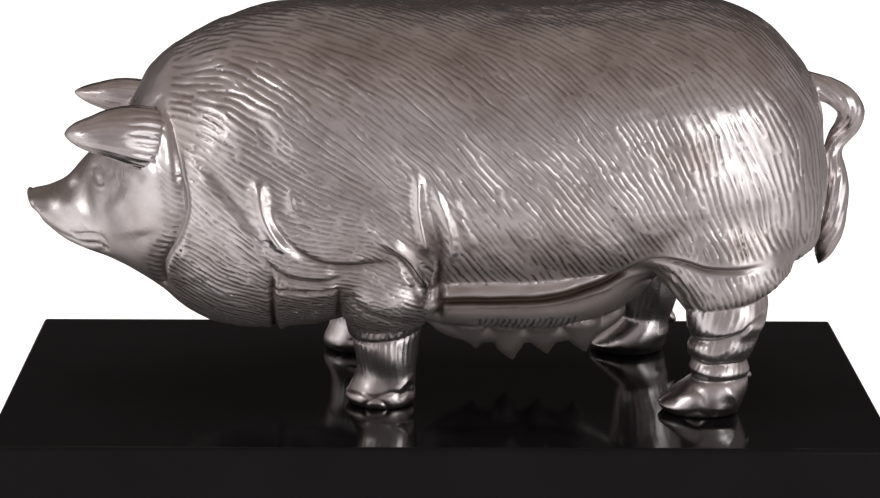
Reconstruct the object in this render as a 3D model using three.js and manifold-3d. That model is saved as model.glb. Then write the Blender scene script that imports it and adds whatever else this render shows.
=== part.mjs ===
// A cast sow standing on a black block. Millimetres, +Z up, the snout points to -X.
// The origin is the middle of the block's underside.
import * as THREE from "three";
import { mergeVertices } from "three/addons/utils/BufferGeometryUtils.js";
import Module from "manifold-3d";

const wasm = await Module();
wasm.setup();

// Block
const blockLength = 500;
const blockDepth = 250;
const blockHeight = 40;
const blockEdgeRadius = 2.5; // polished round on every edge
const blockEdgeSteps = 3;

// Figure. Its stations are drawn for a sow of drawnLength, snout to tail, and grow with figureLength.
const figureLength = 482;
const drawnLength = 482;
const facetTolerance = 0.2; // flat runs of the figure's small faces are joined up to this
const figureOffsetY = 5; // the sow stands a little behind the block's middle line

// Colours and finishes
const silver = new THREE.MeshStandardMaterial({ color: 0xb9b0aa, roughness: 0.3, metalness: 1 });
const lacquer = new THREE.MeshStandardMaterial({ color: 0x0a0a0b, roughness: 0.06, metalness: 0 });
silver.name = "silver";
lacquer.name = "lacquer";

// Every limb is a loft. A station is [front x, front z, back x, back z, half width, middle y]:
// the two points of its ring in side view, and how far the ring reaches to each side.
// The first and last stations are poles, where both points meet and the width is nothing.
const poleTwin = ([ax, az, bx, bz, width, y]) => [bx, bz, ax, az, -width, y];

// A smooth curve through the stations' values of one column, at the place t between them.
function along(stations, column, t) {
  const last = stations.length - 1;
  const start = Math.min(Math.floor(t), last - 1);
  const u = t - start;
  const before = start > 0 ? stations[start - 1] : poleTwin(stations[1]);
  const after = start + 2 > last ? poleTwin(stations[last - 1]) : stations[start + 2];
  const [p, q, r, s] = [before, stations[start], stations[start + 1], after].map((one) => one[column]);
  return q + 0.5 * u * (r - p + u * (2 * p - 5 * q + 4 * r - s + u * (3 * (q - r) + s - p)));
}

// The loft's surface on a sphere's grid. Its sections are rounder at the front than at the back where
// frontPower is the smaller: 2 is an ellipse and 4 is nearly a rectangle. cup bends a thin section
// round, by that share of its half width. Nothing reaches below the soles.
function loft(stations, steps, sides, { frontPower = 2.2, backPower = frontPower, cup = 0 } = {}) {
  const geometry = new THREE.SphereGeometry(1, sides, steps);
  const grid = geometry.getAttribute("uv");
  const position = geometry.getAttribute("position");
  for (let i = 0; i < position.count; i++) {
    const t = (1 - grid.getY(i)) * (stations.length - 1);
    const turn = 2 * Math.PI * grid.getX(i);
    const [ax, az, bx, bz, width, middle] = [0, 1, 2, 3, 4, 5].map((column) => along(stations, column, t));
    const [c, s] = [Math.cos(turn), Math.sin(turn)];
    const power = frontPower + (backPower - frontPower) * (1 - c) * 0.5;
    const reach = (Math.abs(c) ** power + Math.abs(s) ** power) ** (-1 / power);
    const x = (ax + bx) / 2 + ((ax - bx) / 2) * c * reach;
    const y = middle + width * (s * reach - Math.sign(middle) * cup * c * c);
    const z = (az + bz) / 2 + ((az - bz) / 2) * c * reach;
    position.setXYZ(i, x, y, Math.max(z, 0));
  }
  return solid(geometry);
}

// A closed mesh as a solid. A loft may come out with its faces turned inward, so they are then turned over.
function solid(geometry) {
  const bare = new THREE.BufferGeometry().setAttribute("position", geometry.getAttribute("position"));
  bare.setIndex(geometry.index);
  const merged = mergeVertices(bare, 1e-4);
  const vertProperties = merged.getAttribute("position").array;
  const triVerts = new Uint32Array(merged.index.array);
  const whole = new wasm.Manifold(new wasm.Mesh({ numProp: 3, vertProperties, triVerts }));
  if (whole.volume() > 0) return whole;
  return new wasm.Manifold(new wasm.Mesh({ numProp: 3, vertProperties, triVerts: triVerts.reverse() }));
}

// Barrel of the body: back line in front, belly line behind
const torsoStations = [
  [-182, 128, -182, 128, 0, 0],
  [-176, 170, -171, 80, 34, 0],
  [-166, 187.5, -158, 56, 48, 0],
  [-149, 203, -140, 44, 63, 0],
  [-125, 213.5, -117, 39, 76, 0],
  [-90, 223, -85, 40, 84, 0],
  [-42, 225, -40, 50, 87.5, 0],
  [8, 223.5, 8, 62, 88.5, 0],
  [58, 224.5, 58, 63, 89.5, 0],
  [108, 227, 108, 74, 90, 0],
  [148, 226.5, 148, 80, 88, 0],
  [178, 218, 180, 76, 80, 0],
  [200.5, 199, 205, 79, 64, 0],
  [214, 177, 218, 92, 40, 0],
  [222.5, 130, 222.5, 130, 0, 0],
];

const torso = { stations: torsoStations, frontPower: 2.35, backPower: 3.1 };

// Head, from the flat snout to the nape inside the collar
const headStations = [
  [-236.2, 107.6, -236.2, 107.6, 0, 0],
  [-237.3, 112.6, -234.2, 102.4, 7.5, 0],
  [-236.6, 114.6, -232.2, 99.8, 9.8, 0],
  [-232.5, 115.2, -229.8, 95, 9.4, 0],
  [-224, 118.4, -224.5, 89.8, 12, 0],
  [-216.8, 124.6, -215.5, 84.8, 17, 0],
  [-207, 133.5, -204, 79.6, 24.5, 0],
  [-196, 144.5, -190, 72.2, 35, 0],
  [-186, 156, -176, 64, 46, 0],
  [-177, 169, -162, 56, 55, 0],
  [-166, 182, -146, 52, 62, 0],
  [-150, 190, -128, 56, 60, 0],
  [-112, 120, -112, 120, 0, 0],
];

const head = { stations: headStations, frontPower: 2.2, backPower: 2.2 };

// Rolls of skin stand on the sides and creases are sunk into them. Each is a line in side view of
// [x, z, radius], and the same on both sides.
const shoulderRoll = [
  [-103, 146, 4], [-101, 131, 8], [-98, 119, 9], [-93, 107, 9],
  [-86, 98, 9], [-76, 92, 7], [-68, 90, 4],
];
const elbowRoll = [[-40, 110, 4], [-33, 106, 8], [-22, 98, 10], [-13, 89, 10], [-8, 77, 9], [-6, 66, 6]];
const sideRoll = [[-15, 152, 4], [-13.6, 134, 7], [-12.5, 114, 8.5], [-10, 100, 8], [-6, 86, 5]];
const shoulderCrease = [
  [-89, 113, 2], [-79.5, 99, 4], [-69, 94.6, 5],
  [-57.5, 91.8, 5.5], [-46, 91, 5], [-36, 93, 3],
];
const sideCrease = [[-5.5, 128, 2], [-3.5, 112, 5], [-2.2, 98, 6], [-2, 84, 6], [-3, 68, 6]];
const chestCrease = [[-94, 86, 2], [-95.3, 74, 4.5], [-94.9, 60, 5.5], [-94.5, 50, 5.5]];
const mouthCrease = [[-228, 106, 1], [-221, 98, 1.8], [-211, 93.5, 1.8], [-200, 90, 2], [-192, 88, 1.4]];
const eyeCrease = [[-199.5, 125.5, 0.8], [-196, 128, 1.9], [-191.5, 128.4, 2.1], [-186.5, 126, 1]];
const rolls = [shoulderRoll, elbowRoll, sideRoll];
const bodyCreases = [shoulderCrease, sideCrease, chestCrease];
const faceCreases = [mouthCrease, eyeCrease];
const rollSink = 0.66; // how much of its radius a roll's middle line lies under the skin
const creaseRise = 0.25; // and a crease's over it

// Ear, from its root in the neck to its tip
const earStations = [
  [-140, 152, -140, 152, 0, -44],
  [-148, 164, -147, 138, 8, -47],
  [-158.5, 170.5, -158, 135.5, 9.5, -49],
  [-171, 173, -171, 137.8, 9, -50],
  [-184.5, 171.5, -184, 143.2, 8, -51],
  [-196.5, 167, -196, 148, 6.5, -51.5],
  [-206, 161.8, -205, 152.6, 4.2, -51],
  [-210.5, 157.2, -210.5, 157.2, 0, -50.5],
];
const farEarShift = { x: -7, z: 2.5 };

// Udder and belly band under the barrel
const udderStations = [
  [-8, 62, -8, 62, 0, 0],
  [-2, 84, 0, 48, 66, 0],
  [22, 88, 22, 41, 73, 0],
  [45, 90, 45, 39.5, 74, 0],
  [68, 92, 68, 41, 74, 0],
  [92, 96, 91, 46, 70, 0],
  [112, 100, 110, 56, 58, 0],
  [127, 98, 125, 68, 36, 0],
  [137, 84, 137, 84, 0, 0],
];
const teatTips = [[19, 30], [40, 24], [59.5, 27.5], [81.5, 29]];
const teatRowY = 38;
const teatRadius = 7;
const teatRootZ = 50;

// Limbs of the near side. The far ones stand further forward and out, in midstep.
const upperArmStations = [
  [-30, 112, -30, 112, 0, -50],
  [-54, 104, -8, 104, 22, -50],
  [-60, 86, -2, 86, 28, -51],
  [-60, 68, -2, 66, 29, -51],
  [-57, 53, -6, 54, 25, -49],
  [-48, 45, -14, 47, 17, -47],
  [-31, 43.5, -31, 43.5, 0, -46],
];
const foreShankStations = [
  [-31, 72, -31, 72, 0, -46],
  [-48, 64, -14, 64, 17, -46],
  [-54, 50, -8, 52, 21, -46],
  [-51, 38, -12, 38, 18.5, -46],
  [-48.5, 22, -14, 22, 16.5, -46],
  [-50, 14, -14.2, 14, 17, -46],
  [-54, 7, -14, 7, 18, -46],
  [-53.5, 2.5, -14.5, 2, 17.5, -46],
  [-47, -1.5, -19, -1.5, 14, -46],
  [-33, -3, -33, -3, 0, -46],
];
const thighStations = [
  [152, 132, 152, 132, 0, -46],
  [112, 116, 192, 122, 28, -47],
  [110, 100, 200, 100, 35, -48],
  [117, 84, 200, 84, 35.5, -49],
  [128, 71, 194, 76, 33, -51],
  [137, 60, 186, 71.5, 27, -54],
  [142, 57, 180, 70, 16, -56],
  [161, 63, 161, 63, 0, -57],
];
const hindShankStations = [
  [160, 88, 160, 88, 0, -58],
  [142, 78, 182, 82, 17, -59],
  [138.5, 64, 184, 68, 20.5, -60],
  [138.5, 52, 183, 55, 21, -61],
  [140.5, 45, 180, 47, 18.5, -61],
  [139.5, 38, 178, 39, 19, -61],
  [142.5, 30.5, 174, 30.5, 16.5, -61],
  [141.5, 26, 174.5, 26, 17.5, -61],
  [142.5, 21.5, 173.5, 21.5, 16.5, -61],
  [134, 14, 173.5, 14, 18, -61],
  [126, 7.5, 172, 7.5, 18.5, -61],
  [124.5, 3.5, 170.5, 3, 17.5, -61],
  [132, -1.5, 166, -1.5, 13, -61],
  [150, -3, 150, -3, 0, -61],
];
const farArmShift = { x: -17, spread: 16 };
const farLegShift = { x: -32, spread: -2 };

// Tail: its middle line as [x, z, radius, y], out of the rump, once round and down to the tip
const tailLine = [
  [204, 178, 6, 0],
  [213, 177.5, 7, 0],
  [223, 174.5, 7.6, -1],
  [232, 169, 8, -2],
  [236.6, 160.5, 8, -1],
  [235, 151.5, 7.4, 2],
  [230, 144, 6.2, 3],
  [228, 136, 5.2, 2],
  [230, 125, 5.8, 0],
  [230.5, 110, 6.8, -1],
  [228.5, 93.5, 7, -1],
  [224, 78, 5.6, 0],
  [222, 70.5, 1.8, 0],
];

// The tail's line as loft stations, with each ring square to the line.
function tubeStations(line) {
  const rings = line.map(([x, z, radius, y], i) => {
    const [px, pz] = line[Math.max(i - 1, 0)];
    const [qx, qz] = line[Math.min(i + 1, line.length - 1)];
    const length = Math.hypot(qx - px, qz - pz);
    const [nx, nz] = [(-(qz - pz) / length) * radius, ((qx - px) / length) * radius];
    return [x + nx, z + nz, x - nx, z - nz, radius, y];
  });
  const pole = ([x, z, radius, y], [nx, nz]) => {
    const length = Math.hypot(x - nx, z - nz);
    const [ex, ez] = [x + ((x - nx) / length) * radius, z + ((z - nz) / length) * radius];
    return [ex, ez, ex, ez, 0, y];
  };
  return [pole(line[0], line[1]), ...rings, pole(line.at(-1), line.at(-2))];
}

// How far out a limb's side lies at a place in side view: first the ring that runs through it.
function skinWidth({ stations, frontPower, backPower }, x, z) {
  const ringAt = (t) => [0, 1, 2, 3, 4].map((column) => along(stations, column, t));
  let [low, high] = [1, stations.length - 2];
  for (let step = 0; step < 20; step++) {
    const [ax, az, bx, bz] = ringAt((low + high) / 2);
    if ((bx - ax) * (z - az) > (bz - az) * (x - ax)) low = (low + high) / 2;
    else high = (low + high) / 2;
  }
  const [ax, az, bx, bz, width] = ringAt(low);
  const [hx, hz] = [(ax - bx) / 2, (az - bz) / 2];
  const height = ((x - bx - hx) * hx + (z - bz - hz) * hz) / (hx * hx + hz * hz);
  const share = Math.min(Math.max(height, -0.95), 0.95);
  const power = share > 0 ? frontPower : backPower;
  return width * (1 - Math.abs(share) ** power) ** (1 / power);
}

// A tube along a limb's side, its middle line over the skin by a share of its radius.
function skinTube(limb, line, side, over) {
  const placed = line.map(([x, z, radius]) => [x, z, radius, side * (skinWidth(limb, x, z) + over * radius)]);
  return loft(tubeStations(placed), 2 * line.length, 7, { frontPower: 2 });
}

// Stations moved along x and out to the side, and swung to the far side.
const shifted = (stations, { x = 0, z = 0, spread = 0 }) =>
  stations.map(([ax, az, bx, bz, width, y]) => [ax + x, az + z, bx + x, bz + z, width, spread - y]);

// One teat: a rounded cone hanging from the udder.
function teat([x, tipZ], y) {
  const drop = teatRootZ - tipZ;
  const profile = [[0, 0], [0.28, 0.02], [0.55, 0.3], [1, 0.75], [0.8, 1], [0, 1]];
  const outline = profile.map(([radius, height]) => new THREE.Vector2(radius * teatRadius, height * drop));
  const geometry = new THREE.LatheGeometry(outline, 7);
  geometry.rotateX(Math.PI / 2);
  geometry.translate(x, y, tipZ);
  return solid(geometry);
}

function buildFigure() {
  let figure = loft(torsoStations, 42, 32, torso).add(loft(headStations, 22, 18, head));
  for (const side of [-1, 1]) {
    for (const line of rolls) figure = figure.add(skinTube(torso, line, side, -rollSink));
    for (const line of bodyCreases) figure = figure.subtract(skinTube(torso, line, side, creaseRise));
    for (const line of faceCreases) figure = figure.subtract(skinTube(head, line, side, creaseRise));
  }
  const pieces = [
    loft(earStations, 10, 12, { cup: 0.4 }),
    loft(shifted(earStations, farEarShift), 10, 12, { cup: 0.4 }),
    loft(udderStations, 13, 16, { frontPower: 2.4 }),
    loft(upperArmStations, 10, 16),
    loft(foreShankStations, 14, 12),
    loft(shifted(upperArmStations, farArmShift), 10, 16),
    loft(shifted(foreShankStations, farArmShift), 14, 12),
    loft(thighStations, 10, 16),
    loft(hindShankStations, 24, 12),
    loft(shifted(thighStations, farLegShift), 10, 16),
    loft(shifted(hindShankStations, farLegShift), 24, 12),
    loft(tubeStations(tailLine), 26, 8, { frontPower: 2 }),
  ];
  for (const side of [-1, 1]) pieces.push(...teatTips.map((tip) => teat(tip, side * teatRowY)));
  for (const piece of pieces) figure = figure.add(piece);
  return figure.simplify(facetTolerance);
}

// A manifold solid as a three.js mesh.
function meshOf(name, whole, material) {
  const { numProp, numVert, vertProperties, triVerts } = whole.getMesh();
  const points = new Float32Array(numVert * 3);
  for (let i = 0; i < numVert; i++) points.set(vertProperties.subarray(i * numProp, i * numProp + 3), i * 3);
  const geometry = new THREE.BufferGeometry()
    .setAttribute("position", new THREE.BufferAttribute(points, 3))
    .setIndex(new THREE.BufferAttribute(triVerts, 1));
  geometry.computeVertexNormals();
  const mesh = new THREE.Mesh(geometry, material);
  mesh.name = name;
  return mesh;
}

function buildBlock() {
  const inset = blockEdgeRadius;
  const outline = new THREE.Shape();
  const [x, y] = [blockLength / 2 - inset, blockDepth / 2 - inset];
  outline.moveTo(-x, -y).lineTo(x, -y).lineTo(x, y).lineTo(-x, y).closePath();
  const geometry = new THREE.ExtrudeGeometry(outline, {
    depth: blockHeight - 2 * inset,
    bevelSize: inset,
    bevelThickness: inset,
    bevelSegments: blockEdgeSteps,
  });
  geometry.translate(0, 0, inset);
  const mesh = new THREE.Mesh(geometry, lacquer);
  mesh.name = "plinth";
  return mesh;
}

const pig = meshOf("pig", buildFigure(), silver);
pig.scale.setScalar(figureLength / drawnLength);
pig.position.set(0, figureOffsetY, blockHeight);

const model = new THREE.Group();
model.add(pig, buildBlock());

export default model;
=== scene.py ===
"""A silver-plated cast sow on a black lacquered block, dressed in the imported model's frame.

The sow is drawn in millimetres in her own frame: x runs from snout to tail, z is the height over the
block, and y = 0 is her middle. Her limbs are the same lofts as in the solid, joined into one skin,
which is then worked as a modeller works clay: folds and features first, combed hair last.
"""

from __future__ import annotations

import logging
import math
from dataclasses import dataclass, field, replace
from enum import Enum, IntEnum
from functools import partial
from typing import Any, Iterable

import bmesh
import bpy
import numpy as np
from mathutils import Matrix, Vector


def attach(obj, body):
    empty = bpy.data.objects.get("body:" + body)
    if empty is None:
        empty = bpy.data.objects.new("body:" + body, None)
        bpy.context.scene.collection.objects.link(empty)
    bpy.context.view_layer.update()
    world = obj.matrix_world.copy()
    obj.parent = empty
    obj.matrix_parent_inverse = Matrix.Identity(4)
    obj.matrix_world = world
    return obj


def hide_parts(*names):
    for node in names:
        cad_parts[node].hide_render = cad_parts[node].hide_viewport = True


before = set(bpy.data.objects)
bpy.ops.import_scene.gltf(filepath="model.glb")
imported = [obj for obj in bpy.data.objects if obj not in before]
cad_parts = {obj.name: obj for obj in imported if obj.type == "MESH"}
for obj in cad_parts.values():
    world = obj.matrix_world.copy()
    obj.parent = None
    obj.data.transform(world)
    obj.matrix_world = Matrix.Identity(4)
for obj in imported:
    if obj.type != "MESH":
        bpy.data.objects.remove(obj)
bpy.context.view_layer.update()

log = logging.getLogger("sow")

MM = 0.001
BLOCK_HEIGHT = 40.0
SOW_OFFSET_Y = 5.0  # her middle stands a little behind the block's
FORE_STEP = 17.0  # how far her far foreleg stands in front of the near one
HIND_STEP = 32.0  # how far her far hind leg stands in front of the near one
TEAT_ROW_Y = 42.0
LIMB_SCALE = 16  # a limb's number is kept in an attribute as a share of this
SEED = 7  # every random draw starts from it

Array = np.ndarray
Stations = tuple[tuple[float, ...], ...]
Line = tuple[tuple[float, float], ...]


# Small tools


def smoothstep(low: float, high: float, value: Array) -> Array:
    """Returns 0 at low, 1 at high and an even rise between them."""
    share = np.clip((value - low) / (high - low), 0.0, 1.0)
    return share * share * (3.0 - 2.0 * share)


def plateau(start: float, full: float, fading: float, end: float, value: Array) -> Array:
    """Returns 0 up to start, 1 from full to fading and 0 again from end on."""
    return smoothstep(start, full, value) * smoothstep(end, fading, value)


def unit(vectors: Array) -> Array:
    """Returns the rows of vectors at length 1."""
    return vectors / np.maximum(np.linalg.norm(vectors, axis=-1, keepdims=True), 1e-9)


def through(padded: Array, places: Array) -> Array:
    """Works out a smooth curve through rows of points.

    Args:
        padded: the points, with one more before the first and one after the last.
        places: how far along each wanted place is, from 0 at the first point, by the points' numbers.

    Returns:
        The curve's row at each place.
    """
    start = np.minimum(places.astype(int), len(padded) - 4)
    u = (places - start)[:, None]
    p, q, r, s = (padded[start + k] for k in range(4))
    return q + 0.5 * u * (r - p + u * (2 * p - 5 * q + 4 * r - s + u * (3 * (q - r) + s - p)))


def read(layer: Any, name: str, width: int = 3) -> Array:
    """Reads a mesh collection's values into an array of rows.

    Args:
        layer: the collection, such as mesh.vertices.
        name: the value's name, such as "co".
        width: how many numbers each row has.

    Returns:
        The values as float64 rows, or as one flat array for width 1.
    """
    flat = np.empty(len(layer) * width, dtype=np.float32)
    layer.foreach_get(name, flat)
    return flat.astype(np.float64).reshape(-1, width) if width > 1 else flat.astype(np.float64)


def link(mesh: bpy.types.Mesh, name: str) -> bpy.types.Object:
    """Puts a mesh into the scene.

    Args:
        mesh: the mesh.
        name: the new object's name.

    Returns:
        The new object.
    """
    piece = bpy.data.objects.new(name, mesh)
    bpy.context.scene.collection.objects.link(piece)
    return piece


def evaluated(piece: bpy.types.Object, name: str) -> bpy.types.Mesh:
    """Applies a piece's modifiers and removes the piece.

    Args:
        piece: the object with its modifiers.
        name: the name of the mesh that comes out.

    Returns:
        That mesh.
    """
    graph = bpy.context.evaluated_depsgraph_get()
    mesh = bpy.data.meshes.new_from_object(piece.evaluated_get(graph))
    mesh.name = name
    old = piece.data
    bpy.data.objects.remove(piece)
    bpy.data.meshes.remove(old)
    return mesh


# The sow's limbs


class Limb(IntEnum):
    """What a place on the skin belongs to."""

    BARREL = 0
    HEAD = 1
    EAR = 2
    UDDER = 3
    ARM = 4
    FORE_SHANK = 5
    THIGH = 6
    HIND_SHANK = 7
    TAIL = 8
    TEAT = 9


class Side(Enum):
    """Which of the sow's sides a mark is on. The near one is at -Y."""

    NEAR = -1
    FAR = 1
    BOTH = 0


@dataclass(frozen=True)
class Loft:
    """A limb as rings through stations of front x, front z, back x, back z, half width and middle y.

    The powers say how square a ring is at its front and back. cup and lean shape an ear's section, and
    taper narrows the bridge of the snout towards the front.
    """

    limb: Limb
    stations: Stations
    steps: int = 60
    sides: int = 48
    front_power: float = 2.2
    back_power: float | None = None
    cup: float = 0.0
    lean: float = 0.0
    taper: float = 0.0

    def moved(self, x: float = 0.0, z: float = 0.0, spread: float = 0.0, slim: float = 1.0) -> "Loft":
        """Makes the loft for the sow's other side.

        Args:
            x: how far it moves along x.
            z: how far it moves up.
            spread: what its middle y and the near one's add up to.
            slim: its rings' height over the near ones'.

        Returns:
            The other side's loft.
        """
        rings = tuple(
            (a + x, d + z + (b - d) * slim, c + x, d + z, w, spread - y) for a, b, c, d, w, y in self.stations
        )
        return replace(self, stations=rings)

    def evened(self, first: int, last: int) -> "Loft":
        """Takes the rings of skin out of a stretch of the limb.

        Args:
            first: the number of the station where the stretch starts.
            last: the number of the one where it ends.

        Returns:
            The loft with its stations in between on straight lines.
        """
        rings = np.array(self.stations, dtype=float)
        share = np.linspace(0, 1, last - first + 1)[:, None]
        rings[first : last + 1] = rings[first] * (1 - share) + rings[last] * share
        return replace(self, stations=tuple(map(tuple, rings.tolist())))

    def along(self, places: Array) -> Array:
        """Works out the smooth rings between the stations.

        Args:
            places: how far along each ring is, from 0 at the first station, by the stations' numbers.

        Returns:
            One ring's six numbers for each place.
        """
        rings = np.array(self.stations, dtype=float)
        # past its pole the limb goes on as the next ring turned over, so its end is round
        twin = rings[[1, -2]][:, [2, 3, 0, 1, 4, 5]] * np.array([1, 1, 1, 1, -1, 1])
        return through(np.vstack([twin[:1], rings, twin[1:]]), places)

    def points(self, share: Array, turn: Array) -> Array:
        """Returns the skin's points in millimetres.

        Args:
            share: how far along the limb each point is, from 0 to 1.
            turn: its angle round the ring, 0 at the front.

        Returns:
            One row of x, y and z for each point.
        """
        ax, az, bx, bz, width, middle = self.along(share * (len(self.stations) - 1)).T
        c, s = np.cos(turn), np.sin(turn)
        back = self.front_power if self.back_power is None else self.back_power
        power = self.front_power + (back - self.front_power) * (1 - c) * 0.5
        reach = (np.abs(c) ** power + np.abs(s) ** power) ** (-1 / power)
        x = (ax + bx) / 2 + (ax - bx) / 2 * c * reach
        z = (az + bz) / 2 + (az - bz) / 2 * c * reach
        slim = self.taper * (0.5 + 0.5 * c * reach) * plateau(0.2, 0.33, 0.5, 0.75, share)
        y = middle + width * (s * reach * (1 - slim) - np.sign(middle) * (self.cup * c * c + self.lean * c))
        return np.column_stack([x, y, np.maximum(z, 0.0)])

    def mesh(self) -> bpy.types.Mesh:
        """Builds the limb's closed skin.

        Returns:
            The mesh, with each place's limb, share and turn in its attribute limb.
        """
        shell = bmesh.new()
        bmesh.ops.create_uvsphere(shell, u_segments=self.sides, v_segments=self.steps, radius=1.0)
        mesh = bpy.data.meshes.new("limb")
        shell.to_mesh(mesh)
        ball = read(mesh.vertices, "co")
        share = np.arccos(np.clip(ball[:, 2], -1, 1)) / math.pi
        turn = np.arctan2(ball[:, 1], ball[:, 0])
        mesh.vertices.foreach_set("co", self.points(share, turn).astype(np.float32).ravel())
        shell.clear()
        shell.from_mesh(mesh)
        bmesh.ops.recalc_face_normals(shell, faces=shell.faces)
        shell.to_mesh(mesh)
        shell.free()
        tag = mesh.color_attributes.new("limb", "FLOAT_COLOR", "POINT")
        number = np.full(len(share), self.limb / LIMB_SCALE)
        rows = np.column_stack([number, share, np.cos(turn), np.sin(turn)])
        tag.data.foreach_set("color", rows.astype(np.float32).ravel())
        return mesh


def tube(limb: Limb, line: Stations, steps: int = 60, sides: int = 24) -> Loft:
    """Makes a round loft along a line, its rings square to the line.

    Args:
        limb: what it belongs to.
        line: rows of x, z, radius and y.
        steps: how many rings its mesh has.
        sides: how many points a ring has.

    Returns:
        The loft.
    """
    path = np.array(line, dtype=float)
    run = np.gradient(path[:, :2], axis=0)
    run /= np.linalg.norm(run, axis=1, keepdims=True)
    rings = [
        (x - dz * r, z + dx * r, x + dz * r, z - dx * r, r, y)
        for (x, z, r, y), (dx, dz) in zip(path.tolist(), run.tolist())
    ]
    ends = []
    for end, inward in ((0, 1), (-1, -2)):
        x, z, r, y = path[end]
        out = path[end, :2] - path[inward, :2]
        ex, ez = path[end, :2] + out / np.linalg.norm(out) * r
        ends.append((ex, ez, ex, ez, 0.0, y))
    return Loft(limb, (ends[0], *rings, ends[1]), steps, sides, 2.0)


@dataclass(frozen=True)
class Fold:
    """A fold, furrow or ridge of skin along a line in side view.

    rise is its height in millimetres, less than nothing for a furrow, and width how far it reaches
    to each side. step lifts what lies on the line's left, and dies away over reach. wraps says that the
    fold goes round the limb, and fade over how much of the line it comes in and dies away. limbs and
    side say which skin it lies on.
    """

    line: Line
    rise: float
    width: float
    step: float = 0.0
    reach: float = 16.0
    limbs: tuple[Limb, ...] = (Limb.BARREL,)
    side: Side = Side.BOTH
    wraps: bool = False
    fade: tuple[float, float] = (0.25, 0.25)

    def course(self) -> Array:
        """Draws the line as a smooth run of short pieces.

        Returns:
            Rows of x and z, six pieces between two points of the line.
        """
        bare = np.array(self.line, dtype=float)
        padded = np.vstack([2 * bare[:1] - bare[1:2], bare, 2 * bare[-1:] - bare[-2:-1]])
        places = np.linspace(0, len(bare) - 1, 6 * (len(bare) - 1) + 1)
        return through(padded, places)

    def lift(self, side_view: Array) -> tuple[Array, Array]:
        """Works out how the fold moves places in side view.

        Args:
            side_view: rows of x and z.

        Returns:
            The lift in millimetres, and how deep in a furrow each place lies, from 0 to 1.
        """
        course = self.course()
        nearest = np.full(len(side_view), 1e9)
        hand = np.ones(len(side_view))
        place = np.zeros(len(side_view))
        for i in range(len(course) - 1):
            run = course[i + 1] - course[i]
            off = side_view - course[i]
            share = np.clip(off @ run / (run @ run), 0, 1)
            gap = np.hypot(*(off - share[:, None] * run).T)
            closer = gap < nearest
            nearest = np.where(closer, gap, nearest)
            hand = np.where(closer, np.sign(run[0] * off[:, 1] - run[1] * off[:, 0]), hand)
            place = np.where(closer, (i + share) / (len(course) - 1), place)
        start, end = self.fade
        ends = np.ones(len(side_view))
        if start > 0:
            ends *= smoothstep(-0.02, start, place)
        if end > 0:
            ends *= 1 - smoothstep(1 - end, 1.02, place)
        crest = np.exp(-((nearest / self.width) ** 2))
        shelf = np.where(hand > 0, np.exp(-nearest / self.reach), 0.0) * (1 - crest)
        return (self.rise * crest + self.step * shelf) * ends, (crest * ends if self.rise < 0 else 0 * crest)


# The limbs' names, as the folds give them
BARREL, HEAD, UDDER, ARM = Limb.BARREL, Limb.HEAD, Limb.UDDER, Limb.ARM
FORE_SHANK, THIGH, HIND_SHANK = Limb.FORE_SHANK, Limb.THIGH, Limb.HIND_SHANK

# The neck's roll, from behind the ear to the throat
COLLAR: Line = (
    (-153.5, 165.5), (-149, 157.5), (-145.5, 147.5), (-144, 138.5), (-142, 128.5), (-141.5, 118.5),
    (-144, 108.5), (-147.5, 100), (-153, 91), (-156.5, 82.5), (-156.5, 73.5), (-153, 64),
)  # fmt: skip

# The fold over the belly band, which climbs over the hind leg
FLANK: Line = (
    (-2, 66.5), (12, 67.5), (25, 67.5), (39, 68), (53, 68.5), (67, 70.5), (77.5, 73.5),
    (87, 76.5), (95.5, 79.5), (103, 84), (109.5, 88.5), (118, 91.5), (127, 92), (135.5, 91),
    (145, 88.5), (154, 88), (163, 88), (174.5, 89.5), (186, 91),
)  # fmt: skip

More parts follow.
